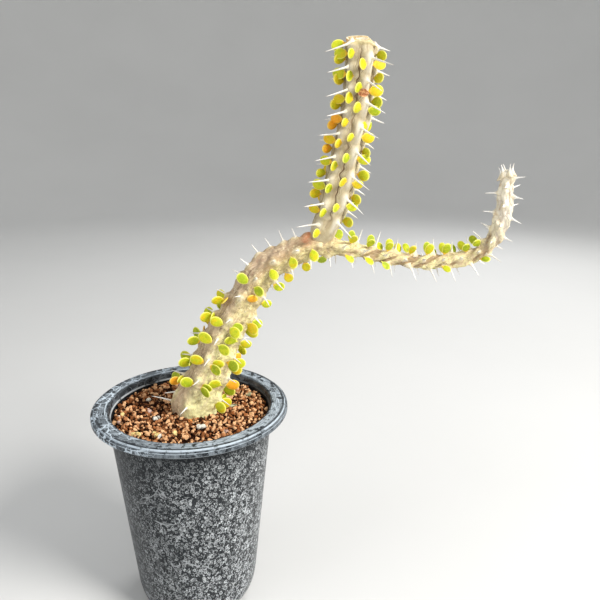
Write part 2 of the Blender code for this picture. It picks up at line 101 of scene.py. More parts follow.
def rounded_section(corners):
    """The section's points in metres: each corner is a short curve, with a straight run-in on both sides."""
    flat = [Vector((radius, height)) for radius, height, _ in corners]
    ends = [Vector((0, flat[0].y)), *flat, Vector((0, flat[-1].y))]
    points = []
    for before, corner, after, (_, _, reach) in zip(ends, flat, ends[2:], corners):
        start, end = (towards(corner, other, reach, CURVE_MOST) for other in (before, after))
        points.append(towards(corner, before, reach * RUN_IN, RUN_IN_MOST))
        for share in np.linspace(0, 1, CORNER_STEPS + 1):
            points.append(start.lerp(corner, share).lerp(corner.lerp(end, share), share))
        points.append(towards(corner, after, reach * RUN_IN, RUN_IN_MOST))
    return [(p.x * MM, p.y * MM) for p in points]


def new_piece(name, points, faces, **paint):
    """A smooth-shaded object, with numbers or vectors painted on its points under the names of paint."""
    mesh = bpy.data.meshes.new(name)
    mesh.from_pydata(np.asarray(points).tolist(), [], faces)
    mesh.shade_smooth()
    for key, values in paint.items():
        values = np.asarray(values, np.float32)
        kind, field = ("FLOAT", "value") if values.size == len(points) else ("FLOAT_VECTOR", "vector")
        mesh.attributes.new(key, kind, "POINT").data.foreach_set(field, values.reshape(-1))
    made = bpy.data.objects.new(name, mesh)
    bpy.context.scene.collection.objects.link(made)
    return made


def turned(section, sides):
    """The points of a section of (radius, height) pairs turned about the Z axis, ring by ring."""
    around = np.linspace(0, 2 * math.pi, sides, endpoint=False)
    return [(r * math.cos(a), r * math.sin(a), z) for r, z in section for a in around]


def ring_faces(rings, sides, first=0, lids=(False, False)):
    """Quads between rings of the same number of points, and a lid on the first and the last ring."""
    last = first + (rings - 1) * sides
    faces = []
    for low in range(first, last, sides):
        for side in range(sides):
            after = (side + 1) % sides
            faces.append((low + side, low + after, low + sides + after, low + sides + side))
    if lids[0]:
        faces.append(tuple(reversed(range(first, first + sides))))
    if lids[1]:
        faces.append(tuple(range(last, last + sides)))
    return faces


def flipped(faces):
    return [tuple(reversed(face)) for face in faces]


def turn_pot():
    section = rounded_section(POT_SECTION)
    points = turned(section, POT_SIDES)
    faces = ring_faces(len(section), POT_SIDES)
    last, foot, floor = len(points) - POT_SIDES, len(points), len(points) + 1
    for side in range(POT_SIDES):
        after = (side + 1) % POT_SIDES
        faces += [(foot, after, side), (last + side, last + after, floor)]
    return new_piece("pot_shell", [*points, (0, 0, 0), (0, 0, POT_FLOOR)], faces)


DRAIN_COUNT = 6
DRAIN_RADIUS = 4 * MM
DRAIN_CIRCLE = 19 * MM
DRAIN_HEIGHTS = (-1 * MM, 8 * MM)
DRAIN_SIDES = 32
NOTCH = (9 * MM, 8 * MM, 3.2 * MM)
NOTCH_INSET = 2.5 * MM
POT_EDGE = math.radians(50)


def drain_cutter(number):
    """A round punch through the floor, and a block through the foot ring, for one of the drain holes."""
    points = []
    for height in DRAIN_HEIGHTS:
        for step in range(DRAIN_SIDES):
            turn = 2 * math.pi * step / DRAIN_SIDES + 0.05
            x, y = DRAIN_RADIUS * math.cos(turn), DRAIN_RADIUS * math.sin(turn)
            points.append((DRAIN_CIRCLE + x, y, height))
    middle = FOOT_RADIUS - NOTCH_INSET
    for z in (-0.5, 0.5):
        for x, y in ((-0.5, -0.5), (0.5, -0.5), (0.5, 0.5), (-0.5, 0.5)):
            points.append((middle + x * NOTCH[0], y * NOTCH[1], z * NOTCH[2]))
    faces = ring_faces(2, DRAIN_SIDES, 0, (True, True)) + ring_faces(2, 4, 2 * DRAIN_SIDES, (True, True))
    swing = Matrix.Rotation(2 * math.pi * (number + 0.5) / DRAIN_COUNT, 3, "Z")
    return new_piece(f"drain_punch_{number}", [swing @ Vector(p) for p in points], faces)


def cut_with(thing, cutters):
    """Cuts every cutter out of thing for good, and throws the cutters away."""
    group = bpy.data.collections.new("cutters")
    bpy.context.scene.collection.children.link(group)
    for cutter in cutters:
        bpy.context.scene.collection.objects.unlink(cutter)
        group.objects.link(cutter)
    knife = thing.modifiers.new("cut", "BOOLEAN")
    knife.operation, knife.solver = "DIFFERENCE", "EXACT"
    knife.operand_type, knife.collection = "COLLECTION", group
    graph = bpy.context.evaluated_depsgraph_get()
    thing.data = bpy.data.meshes.new_from_object(thing.evaluated_get(graph))
    thing.modifiers.clear()
    for cutter in cutters:
        bpy.data.objects.remove(cutter)
    bpy.data.collections.remove(group)


class Value:
    """Something that varies over a finish: arithmetic with it adds nodes, and | takes the larger of two."""

    def __init__(self, finish, socket):
        self.finish, self.socket = finish, socket

    def maths(self, operation, other=0.0):
        return self.finish.node("ShaderNodeMath", 0, {0: self, 1: other}, operation=operation)

    def __add__(self, other):
        return self.maths("ADD", other)

    def __sub__(self, other):
        return self.maths("SUBTRACT", other)

    def __mul__(self, other):
        return self.maths("MULTIPLY", other)

    def __or__(self, other):
        return self.maths("MAXIMUM", other)

    def __abs__(self):
        return self.maths("ABSOLUTE")

    def span(self, low, high, to_low=0.0, to_high=1.0):
        """Eased from low..high to to_low..to_high."""
        ends = {"Value": self, "From Min": low, "From Max": high, "To Min": to_low, "To Max": to_high}
        return self.finish.node("ShaderNodeMapRange", "Result", ends, interpolation_type="SMOOTHSTEP")

    def luck(self, factor):
        """A number from 0 to 1 for each cell of a cell pattern, another one for each factor."""
        return (Value(self.finish, self.socket.node.outputs["Color"]) * factor).maths("FRACT")


class Finish:
    """A surface finish: a Principled material in object space, whose colours are laid one over another."""

    def __init__(self, name, gloss=0.5):
        self.material = bpy.data.materials.new(name)
        self.material.use_nodes = True
        self.tree = self.material.node_tree
        self.shader = self.tree.nodes["Principled BSDF"]
        self.shader.inputs["Specular IOR Level"].default_value = gloss
        self.place = self.node("ShaderNodeTexCoord", "Object", {})
        self.colour = None

    def feed(self, socket, value):
        if isinstance(value, Value):
            self.tree.links.new(value.socket, socket)
        else:
            socket.default_value = (*value, 1.0) if socket.type == "RGBA" else value

    def node(self, kind, output, inputs, **settings):
        """One output of a new node with these inputs and settings."""
        made = self.tree.nodes.new(kind)
        for key, setting in settings.items():
            setattr(made, key, setting)
        for key, value in inputs.items():
            self.feed(made.inputs[key], value)
        return Value(self, made.outputs[output])

    def painted(self, name, output="Fac"):
        """What new_piece painted on the mesh's points under this name."""
        return self.node("ShaderNodeAttribute", output, {}, attribute_name=name)

    def axis(self, letter):
        return self.node("ShaderNodeSeparateXYZ", letter, {0: self.place})

    def stretched(self, scale, start=None, shift=0.0):
        inputs = {"Vector": start or self.place, "Scale": scale, "Location": (shift, shift, shift)}
        return self.node("ShaderNodeMapping", "Vector", inputs)

    def cloud(self, scale, detail=3.0, rough=0.5, place=None, warp=0.0):
        inputs = {"Vector": place or self.place, "Scale": scale, "Detail": detail, "Roughness": rough}
        return self.node("ShaderNodeTexNoise", "Fac", inputs | {"Distortion": warp})

    def cells(self, scale, place=None, feature="F1"):
        inputs = {"Vector": place or self.place, "Scale": scale}
        return self.node("ShaderNodeTexVoronoi", "Distance", inputs, feature=feature)

    def nudged(self, amount, scale):
        """Places pushed about by a noise, so that regular cells come out ragged."""
        push = self.node("ShaderNodeTexNoise", "Color", {"Vector": self.place, "Scale": scale})
        centred = self.node("ShaderNodeVectorMath", 0, {0: push, 1: (0.5, 0.5, 0.5)}, operation="SUBTRACT")
        scaled = self.node("ShaderNodeVectorMath", 0, {0: centred, "Scale": amount}, operation="SCALE")
        return self.node("ShaderNodeVectorMath", 0, {0: self.place, 1: scaled}, operation="ADD")

    def webs(self, scale, place, low, high):
        """Thin lines along the edges of a cell pattern."""
        return self.cells(scale, place, "DISTANCE_TO_EDGE").span(low, high)

    def blend(self, share, first, second):
        return self.node("ShaderNodeMix", 2, {0: share, 6: first, 7: second}, data_type="RGBA")

    def over(self, tint, *shares):
        """Lays a colour over those before it, as thick as the product of its shares."""
        share = shares[0]
        for more in shares[1:]:
            share *= more
        self.colour = self.blend(share, self.colour, tint)

    def relief(self, height, distance, strength=1.0, under=None):
        inputs = {"Height": height, "Distance": distance, "Strength": strength}
        return self.node("ShaderNodeBump", "Normal", inputs | ({"Normal": under} if under else {}))

    def finish(self, roughness, normal=None):
        for key, value in (("Base Color", self.colour), ("Roughness", roughness), ("Normal", normal)):
            if value is not None:
                self.feed(self.shader.inputs[key], value)
        return self.material


# Where the pot's wear and painted light change: heights for the foot of the rim and the ledge, and radii for
# the rest. Each edge also has the reach of its worn line, which is partly a painted highlight.
RIM_FOOT = 131 * MM
LEDGE = 130.6 * MM
RIM_EDGES = ((51.6 * MM, 0.5 * MM), (58.25 * MM, 0.4 * MM), (59.95 * MM, 0.25 * MM))
RIM_BAND = 57.2 * MM
# Rings left by drops: the scale of their cells, the shift of the pattern and the strength.
RING_MARKS = ((360, 0.0, 0.9), (520, 3.1, 1.0), (740, 7.7, 0.9), (1050, 11.3, 0.74))
# Webs of chalk on the rim: scale, how far the cells are pushed about, width, span of patches and strength.
RIM_WEBS = ((200, 4.5 * MM, 0.085, (0.42, 0.52), 0.95), (400, 3.0 * MM, 0.12, (0.50, 0.58), 0.75))


def pot_finish():
    """Charcoal plastic under dried water marks: chalky rings on the side, painted brighter towards the lit
    right, and a patchy deposit on the rim under a painted sheen and painted edge highlights.
    """
    coat = Finish("charcoal_plastic", 0.16)
    x, y, height = (coat.axis(letter) for letter in "XYZ")
    outwards, turn = (x * x + y * y).maths("SQRT"), y.maths("ARCTAN2", x)

    marks = coat.cloud(700, 3, 0.65).span(0.52, 0.68) * 0.05 | coat.cloud(2300, 2, 0.7).span(0.5, 0.66) * 0.12
    marks |= coat.cloud(1, 3, place=coat.stretched((210, 210, 9))).span(0.56, 0.74) * 0.14
    marks |= coat.webs(46, coat.nudged(12 * MM, 60), 0.02, 0.004) * coat.cloud(120, 4).span(0.5, 0.62) * 0.8
    ragged = coat.nudged(1.5 * MM, 520)
    for scale, shift, strength in RING_MARKS:
        spots = coat.cells(scale, coat.stretched((1, 1, 0.8), ragged, shift))
        beyond = spots - spots.luck(7.3).span(0.0, 1.0, 0.14, 0.42)
        ring = abs(beyond).span(0.088, 0.03) | beyond.span(0.0, -0.05) * 0.14
        marks |= ring * spots.luck(23.9).span(0.22, 0.60) * strength
    marks *= coat.cloud(42, 4, 0.6).span(0.34, 0.62).span(0.0, 1.0, 0.76, 1.0)
    # Painted light: the marks are painted brighter towards the right, where the light falls, and fainter just
    # under the rim as its painted shade.
    marks *= x.span(-45 * MM, 45 * MM, 0.36, 1.0) * height.span(RIM_FOOT, 88 * MM, 0.40, 1.0)

    brushed = coat.cloud(1, 4, 0.7, coat.node("ShaderNodeCombineXYZ", 0, {0: outwards * 1700, 1: turn * 8}))
    # Painted reflection: a brushed sheen on the rim, brighter to the right and broken by a dark band near the
    # outer edge, stands in for the sky mirrored in the rim.
    painted_sheen = brushed.span(0.38, 0.66, 0.35, 1.0) * coat.cloud(250, 5, 0.68).span(0.40, 0.50)
    painted_sheen *= x.span(-45 * MM, 20 * MM, 0.42, 0.92) * outwards.span(58.0 * MM, 58.5 * MM, 1.0, 0.4)
    painted_sheen *= (abs(outwards - RIM_BAND).span(1.0 * MM, 0.5 * MM) * 0.7).span(0.0, 1.0, 1.0, 0.0)
    # The rim's real deposit, its streaks and its webs are laid over the painted sheen.
    film_and_sheen = painted_sheen | coat.cloud(1500, 3, 0.7).span(0.45, 0.66) * 0.1
    film_and_sheen |= brushed.span(0.60, 0.70) * coat.cloud(90, 4).span(0.44, 0.56) * 0.75
    left = x.span(8 * MM, -32 * MM)
    for scale, push, width, patches, strength in RIM_WEBS:
        web = coat.webs(scale, coat.nudged(push, scale * 0.8), width, width * 0.35)
        film_and_sheen |= web * coat.cloud(scale * 0.45).span(*patches) * left * strength
    off_lip = height.span(133.1 * MM, 133.5 * MM) | height.span(131.3 * MM, RIM_FOOT)
    # Painted highlights: thin bright lines along the rim's edges, broken up like wear.
    worn_and_glint = coat.cloud(210, 5, 0.7).span(0.34, 0.52) * off_lip * 0.85
    for radius, reach in RIM_EDGES:
        film_and_sheen |= abs(outwards - radius).span(reach, 0.12 * MM) * worn_and_glint
    # The ledge inside the throat: a pale line, painted brighter on the left inner wall that faces the light,
    # as a highlight.
    ledge_line_and_glint = abs(height - LEDGE).span(0.7 * MM, 0.2 * MM) * outwards.span(49.6 * MM, 49.2 * MM)
    ledge_line_and_glint *= coat.cloud(120, 4).span(0.36, 0.5) * x.span(25 * MM, -15 * MM, 0.1, 0.55)

    on_rim = height.span(RIM_FOOT - 0.4 * MM, RIM_FOOT + 0.4 * MM)
    on_side = height.span(RIM_FOOT + 0.4 * MM, RIM_FOOT - 0.4 * MM)
    in_throat = outwards.span(51.0 * MM, 50.2 * MM) * height.span(120 * MM, 125 * MM)
    # The whole pale coat with its painted light: the side marks, the rim's deposit and painted sheen, and the
    # ledge line.
    chalk = (marks * on_side | film_and_sheen * on_rim) * in_throat.span(0.0, 1.0, 1.0, 0.25) | ledge_line_and_glint
    bare = coat.blend(coat.cloud(70, 4), (0.003, 0.0045, 0.0065), (0.008, 0.011, 0.014))
    # The rim's bluish colour is partly a painted reflection of the sky.
    bluish = coat.blend(on_rim, (0.70, 0.735, 0.755), (0.54, 0.62, 0.69))
    coat.colour = coat.blend(chalk, bare, bluish)
    skin = coat.relief(coat.cloud(900, 3), 0.05 * MM, 0.35)
    return coat.finish(chalk.span(0.0, 1.0, 0.36, 0.7), coat.relief(chalk, 0.06 * MM, 0.5, skin))


pot = turn_pot()
cut_with(pot, [drain_cutter(number) for number in range(DRAIN_COUNT)])
pot.data.set_sharp_from_angle(angle=POT_EDGE)
pot.data.materials.clear()
pot.data.materials.append(pot_finish())
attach(pot, "root")
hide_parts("pot")

# Soil
# Baked clay granules, one to three millimetres across, fill the pot to just under its rim. They lie loose
# over a bed of the same clay, painted near black as the shade in the gaps, in two layers that leave gaps
# between them.
SOIL_TOP = 129 * MM
SOIL_GAP = 0.3 * MM
BED_DROP = 1.4 * MM
BED_RINGS = 40
BED_SIDES = 144
STEM_FOOT = Vector((2.5 * MM, 0))
STEM_FOOT_RADIUS = 13.9 * MM
GRAIN_SPACING = 1.75 * MM
GRAIN_KEEP_OUT = 12.6 * MM
GRAIN_SEED = 31
GRAIN_EDGE = math.radians(26)
GRAIN_SHAPES = 14
LAYER_HEIGHTS = (-0.95 * MM, 0.25 * MM)
# The stem's painted shadow on the soil: granules round this spot, left of and behind the stem, are painted
# darker.
STEM_SHADOW_SPOT = Vector((-20 * MM, 6 * MM))
STEM_SHADOW_REACH = 18 * MM


def inner_wall(height):
    share = (height - HEEL_HEIGHT) / (POT_HEIGHT - POT_WALL - HEEL_HEIGHT)
    return HEEL_RADIUS + share * (NECK_RADIUS - HEEL_RADIUS) - POT_WALL


def soil_height(x, y):
    """The rolling top of the soil: it rises a little against the stem."""
    roll = noise.noise(Vector((x, y, 0)) * 55) * 0.9 * MM + noise.noise(Vector((x, y, 0.3)) * 140) * 0.5 * MM
    to_stem = (Vector((x, y)) - STEM_FOOT).length - STEM_FOOT_RADIUS
    mound = 1.1 * MM * math.exp(-max(to_stem, 0) / (5 * MM))
    return SOIL_TOP - 0.6 * MM + roll + mound


def lay_soil_bed():
    wall = inner_wall(SOIL_TOP) - SOIL_GAP
    top = turned([(wall * ring / BED_RINGS, 0) for ring in range(BED_RINGS + 1)], BED_SIDES)
    points = [(x, y, soil_height(x, y) - BED_DROP) for x, y, _ in top]
    heel = (inner_wall(HEEL_HEIGHT) - SOIL_GAP, HEEL_HEIGHT)
    points += turned([heel, (FOOT_RADIUS - SOIL_GAP, POT_FLOOR + SOIL_GAP)], BED_SIDES)
    faces = flipped(ring_faces(BED_RINGS + 3, BED_SIDES, lids=(False, True)))
    # The bed takes the darkest tone: painted shade in the gaps between the granules.
    return new_piece("soil_bed", points, faces, tone=np.zeros(len(points)))


def ball(level):
    """The points and faces of a unit ball of triangles."""
    bpy.ops.mesh.primitive_ico_sphere_add(subdivisions=level, radius=1.0)
    made, mesh = bpy.context.object, bpy.context.object.data
    points = np.array([v.co[:] for v in mesh.vertices])
    faces = np.array([p.vertices[:] for p in mesh.polygons])
    bpy.data.objects.remove(made)
    bpy.data.meshes.remove(mesh)
    return points, faces


def any_way(draw):
    return Vector((draw.gauss(0, 1), draw.gauss(0, 1), draw.gauss(0, 1))).normalized()


def grain_shapes(draw, count):
    """Broken granules: a unit ball cut by ten random planes, with a little lumpiness."""
    points, faces = ball(2)
    shapes = []
    for _ in range(count):
        offset = Vector((draw.uniform(0, 50), draw.uniform(0, 50), draw.uniform(0, 50)))
        ways = [any_way(draw) for _ in range(10)]
        depths = [draw.uniform(0.62, 1.0) for _ in ways]
        reach = []
        for point in points:
            cut = min(depth / max(way.dot(Vector(point)), 0.05) for way, depth in zip(ways, depths))
            reach.append(min(cut, 1.15) * (1 + 0.26 * noise.noise(Vector(point) * 2.2 + offset)))
        squash = np.array([draw.uniform(0.9, 1.38), draw.uniform(0.72, 1.08), draw.uniform(0.6, 0.92)])
        shapes.append(points * np.array(reach)[:, None] * squash)
    return shapes, faces


def scatter_grains(name, draw, spots, shapes, faces, tone_of):
    """One mesh of granules at (x, y, z, radius), each with a tone painted on its points."""
    points, all_faces, tones = [], [], []
    for number, (x, y, z, radius) in enumerate(spots):
        shape = shapes[draw.randrange(len(shapes))]
        axle = any_way(draw)
        turn = np.array(Matrix.Rotation(draw.uniform(0, 2 * math.pi), 3, axle))
        points.append(shape @ turn.T * radius + np.array([x, y, z]))
        all_faces.append(faces + number * len(shape))
        tones.append(np.full(len(shape), tone_of(draw, Vector((x, y)), (z - soil_height(x, y)) / MM)))
    made = new_piece(name, np.vstack(points), np.vstack(all_faces).tolist(), tone=np.concatenate(tones))
    made.data.set_sharp_from_angle(angle=GRAIN_EDGE)
    return made


def clay_finish():
    """Unglazed baked clay whose colour runs from dark to light with the tone painted on each granule."""
    clay = Finish("red_clay", 0.12)
    tone = clay.painted("tone")
    clay.colour = clay.blend(tone.span(0.0, 0.5), (0.018, 0.004, 0.001), (0.35, 0.127, 0.043))
    clay.over((0.88, 0.52, 0.27), tone.span(0.5, 1.0))
    clay.over((0.065, 0.021, 0.006), clay.cloud(1500, 4, 0.65).span(0.35, 0.75, 0.0, 0.4))
    return clay.finish(0.92, clay.relief(clay.cloud(2600, 4, 0.7), 0.12 * MM, 0.8))


def grain_spots(draw):
    """Where the granules lie: two loose layers on a jittered grid, clear of the wall and the stem."""
    wall = inner_wall(SOIL_TOP) - SOIL_GAP
    rows = int(wall / GRAIN_SPACING) + 1
    spots = []
    for upper, height in enumerate(LAYER_HEIGHTS):
        for row in range(-rows, rows + 1):
            for column in range(-rows, rows + 1):
                x = (column + 0.5 * (row % 2) + draw.uniform(-0.42, 0.42)) * GRAIN_SPACING
                y = (row * 0.87 + draw.uniform(-0.42, 0.42)) * GRAIN_SPACING
                radius = (0.62 + 0.82 * draw.random() ** 2.0) * MM * (1.1 if upper else 1.0)
                lift = draw.uniform(-0.65, 0.65) * MM
                skip = draw.random()
                if math.hypot(x, y) > wall - radius * 0.9 or (upper and skip < 0.45):
                    continue
                if (Vector((x, y)) - STEM_FOOT).length < GRAIN_KEEP_OUT:
                    continue
                spots.append((x, y, soil_height(x, y) + height + lift, radius))
    return spots


def grain_tone(draw, spot, lift):
    """How light a granule is: those that lie deep between the others are painted darker as shade, and those
    left of the stem as the stem's painted shadow.
    """
    stem_shadow = math.exp(-(((spot - STEM_SHADOW_SPOT).length / STEM_SHADOW_REACH) ** 2))
    return min(max(draw.gauss(0.52, 0.46) + 0.36 * lift - 0.34 * stem_shadow, 0.0), 1.0)


bed = lay_soil_bed()
red_clay = clay_finish()
bed.data.materials.append(red_clay)
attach(bed, "root")
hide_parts("soil")

grain_draw = random.Random(GRAIN_SEED)
forms = grain_shapes(grain_draw, GRAIN_SHAPES)
all_spots = grain_spots(grain_draw)
for half in (0, 1):
    spots = all_spots[half::2]
    grains = scatter_grains(f"clay_granules_{half + 1}", grain_draw, spots, *forms, grain_tone)
    grains.data.materials.append(red_clay)
    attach(grains, "root")

# Litter on the soil
# A few crumbs lie on the clay, pale, yellow, pinkish and orange. With them lie one fallen leaf that has
# dried to grey-green, and a wisp of pale moss near the wall of the pot.

# Each crumb: x, y and radius in millimetres, and its kind.
LITTER = (
    (-19.8, -12.8, 1.9, "chalk"),
    (-18.2, -10.9, 1.3, "chalk"),
    (-25.3, -3.8, 1.9, "rosy"),
    (8.3, -22.9, 2.0, "chalk"),
    (10.9, -22.3, 1.7, "chalk"),
    (25.2, -28.0, 1.3, "rosy"),
    (-28.6, -30.8, 1.8, "yellow"),
    (-25.6, -31.2, 1.7, "yellow"),
    (-16.2, -30.4, 1.3, "yellow"),
    (-14.4, -33.0, 1.7, "yellow"),
    (-12.2, -34.6, 1.4, "chalk"),
    (-4.4, -30.1, 1.6, "yellow"),
    (-41.2, -8.0, 1.5, "yellow"),
    (-42.4, -11.0, 1.5, "chalk"),
    (-40.8, -17.6, 1.4, "rosy"),
    (2.1, -16.0, 1.5, "orange"),
    (-30.0, 12.0, 1.4, "chalk"),
    (12.0, 31.0, 1.4, "yellow"),
    (-14.0, 29.0, 1.2, "chalk"),
)
# Each kind's finish: its name, its dark colour and its light one.
CRUMB_FINISHES = {
    "yellow": ("yellow_crumb", (0.62, 0.45, 0.15), (0.88, 0.73, 0.34)),
    "chalk": ("chalky_crumb", (0.42, 0.40, 0.34), (0.76, 0.75, 0.68)),
    "rosy": ("rosy_crumb", (0.36, 0.22, 0.17), (0.68, 0.50, 0.42)),
    "orange": ("orange_crumb", (0.50, 0.16, 0.03), (0.78, 0.32, 0.08)),
}
CRUMB_LIFT = 1.0 * MM
CRUMB_TONE = 0.5
# The fallen leaf: x, y, half its length and half its width in millimetres, and its turn in degrees.
FALLEN_LEAF = (24.0, 4.6, 4.2, 1.7, -6)
FALLEN_LIFT = 1.3 * MM
FALLEN_TILT = math.radians(-9)
MOSS_SPOT = (34.1 * MM, 23.3 * MM)
MOSS_STRANDS = 46
LITTER_SEED = 7


def on_soil(x, y, lift):
    return Vector((x, y, soil_height(x, y) + lift))


def chalky_finish(name, dark, light):
    stone = Finish(name)
    stone.colour = stone.blend(stone.cloud(900, 4).span(0.35, 0.65), dark, light)
    return stone.finish(0.95, stone.relief(stone.cloud(2200, 4, 0.7), 0.15 * MM, 0.8))


litter_draw = random.Random(LITTER_SEED)
for kind, finish in CRUMB_FINISHES.items():
    spots = [(*on_soil(x * MM, y * MM, CRUMB_LIFT), r * MM) for x, y, r, crumb in LITTER if crumb == kind]
    crumbs = scatter_grains(f"{kind}_crumbs", litter_draw, spots, *forms, lambda *_: CRUMB_TONE)
    crumbs.data.materials.append(chalky_finish(*finish))
    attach(crumbs, "root")


def lay_fallen_leaf():
    """A dry leaf that curls up at both ends and along its edges."""
    x, y, half_length, half_width, turn = FALLEN_LEAF
    ends, across = 24, 12
    points = []
    for face in (1, -1):
        for u in np.linspace(-1, 1, ends + 1):
            wide = math.sqrt(max(1 - u * u, 0)) * half_width
            for v in np.linspace(-1, 1, across + 1):
                curl = 0.9 * u * u + 0.5 * v * v * (1 - 0.4 * u) + 0.18 * math.sin(5 * u + 2 * v)
                thick = 0.16 * (1 - v * v) * (1 - u * u) * face
                points.append(Vector((u * half_length, v * wide, curl + thick)) * MM)
    row, sheet = across + 1, (ends + 1) * (across + 1)
    faces = []
    for i in range(ends):
        for low in range(i * row, i * row + across):
            faces.append((low, low + row, low + row + 1, low + 1))
            faces.append((sheet + low, sheet + low + 1, sheet + low + row + 1, sheet + low + row))
    place = on_soil(x * MM, y * MM, FALLEN_LIFT)
    swing = Matrix.Rotation(math.radians(turn), 3, "Z") @ Matrix.Rotation(FALLEN_TILT, 3, "Y")
    return new_piece("fallen_leaf", [place + swing @ p for p in points], faces)


def dry_leaf_finish():
    dry = Finish("dry_leaf")
    dry.colour = dry.blend(dry.cloud(520, 4).span(0.35, 0.65), (0.30, 0.33, 0.17), (0.60, 0.62, 0.42))
    return dry.finish(0.7, dry.relief(dry.cloud(1400, 3), 0.1 * MM, 0.6))


fallen = lay_fallen_leaf()
fallen.data.materials.append(dry_leaf_finish())
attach(fallen, "root")


def strand(path, radius, sides=6):
    """The points of a thin round strand along a path, ring by ring, drawn out to a point at its end."""
    points = []
    for number, place in enumerate(path):
        ahead = path[min(number + 1, len(path) - 1)] - path[max(number - 1, 0)]
        side = ahead.orthogonal().normalized()
        other = ahead.normalized().cross(side)
        thin = radius * (1 - number / (len(path) - 0.6))
        for corner in range(sides):
            turn = 2 * math.pi * corner / sides
            points.append(place + (side * math.cos(turn) + other * math.sin(turn)) * thin)
    return points, ring_faces(len(path), sides, lids=(True, True))


def tuft_of_moss(draw):
    points, faces = [], []
    for _ in range(MOSS_STRANDS):
        turn, lean = draw.uniform(0, 2 * math.pi), draw.uniform(0.1, 1.3)
        reach = draw.uniform(1.6, 3.4) * MM
        start = on_soil(*MOSS_SPOT, 0.4 * MM) + Vector((draw.gauss(0, 1), draw.gauss(0, 1), 0)) * 0.8 * MM
        out = Vector((math.cos(turn) * math.sin(lean), math.sin(turn) * math.sin(lean), math.cos(lean)))
        path = [start + (out * t - Vector((0, 0, 0.4 * t * t))) * reach for t in (0, 0.25, 0.5, 0.75, 1)]
        more, more_faces = strand(path, 0.26 * MM)
        faces += [tuple(c + len(points) for c in face) for face in more_faces]
        points += more
    return new_piece("moss_tuft", points, faces)


moss = tuft_of_moss(litter_draw)
moss.data.materials.append(chalky_finish("pale_moss", (0.26, 0.27, 0.13), (0.56, 0.56, 0.38)))
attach(moss, "root")

# Main stem
# One living stem, thick as a thumb where it leaves the soil and pencil-thin at the arch. Its grey-tan bark is
# covered in low knobs, each carrying a spine, and the bark between them is creased and patched with mauve.
# The mauve is thickest on the left as painted shade; the bend is painted darker as shade, the knobs paler
# partly as highlight.

# Each knot of a stem's centre line: x, y and z, then the stem's radius there, all in millimetres.
MAIN_STEM = (
    (2.5, 0.0, 93.0, 11.5),
    (2.5, 0.0, 100.0, 12.9),
    (2.5, 0.0, 122.0, 13.3),
    (2.8, 0.0, 132.0, 13.9),
    (5.6, 0.0, 141.0, 13.6),
    (11.7, 0.0, 154.4, 12.7),
    (20.4, -1.0, 176.7, 11.4),
    (32.2, -2.0, 197.8, 10.2),
    (44.2, -2.0, 217.4, 8.8),
    (59.5, -1.0, 228.6, 7.9),
    (73.5, 0.0, 234.2, 6.6),
    (86.0, 1.0, 234.0, 5.0),
    (99.9, 3.0, 231.1, 4.2),
    (116.7, 5.0, 227.3, 4.2),
    (134.2, 7.0, 224.9, 4.2),
    (148.7, 8.0, 224.6, 4.2),
    (163.4, 8.0, 226.3, 4.2),
    (173.3, 7.0, 231.1, 4.4),
    (180.0, 5.0, 239.9, 4.4),
    (182.4, 3.0, 251.9, 4.6),
    (182.3, 1.0, 265.2, 4.4),
    (181.7, 0.0, 274.4, 3.4),
    (181.2, 0.0, 278.6, 1.5),
)
ROUTE_STEP = 0.25 * MM
FRAME_REACH = 1.5 * MM
# The nodes stand in five ranks: each is two fifths of a turn on from the one before.
TURN = math.radians(-144.1)
RANKS = 5
NODE_DRAWS = 14
# Each spine outside the ranks: its length along the stem and its angle round it.
LONE_SPINES = (
    (47.0 * MM, math.radians(-66)),
    (134.4 * MM, math.radians(-75)),
    (147.8 * MM, math.radians(-100)),
    (161.8 * MM, math.radians(-78)),
)
CROWN_ANGLES = (math.radians(-78), math.radians(8), math.radians(78), math.radians(-170))
CROWN_DROP = 1.2 * MM
BASE_SHARE = 0.15
BASE_ALONG = 37.3 * MM
BASE_SQUEEZE = 0.65
# The first node's length along the stem and its angle, the length between two nodes of a rank at the foot
# and at the tip, the seed, then the spines outside the ranks and those of the crown.
MAIN_NODES = (38.5 * MM, math.radians(60), (15.9 * MM, 10.3 * MM), 5, LONE_SPINES, CROWN_ANGLES)
# The shares of the length between which the thick trunk turns into the slim arch.
SLIM = (0.45, 0.65)
# How far a knob reaches above its node, below it and to its sides.
KNOB = np.array((2.4, 6.5, 3.0)) * MM
SLIM_KNOB = np.array((1.7, 4.5, 1.9)) * MM
ARCH_FROM = 0.565
BEND_FROM = 0.36
TIP_FROM = 0.86
TIP_BARE = 1.5 * MM
MAIN_SIDES = 120
MAIN_RING_STEP = 0.5 * MM
TUCK = 0.3 * MM
TUCK_HEIGHTS = (136 * MM, 129 * MM)
BRANCH_FOOT = np.array((78.4, 0, 236)) * MM
WOUND_RADIUS = 9.4 * MM
WOUND_WIDTH = 2.5 * MM
SEAM_SOFTNESS = 1.6


def ramp(value, low, high):
    """0 before low, 1 past high, and straight between them."""
    return np.clip((value - low) / (high - low), 0, 1)


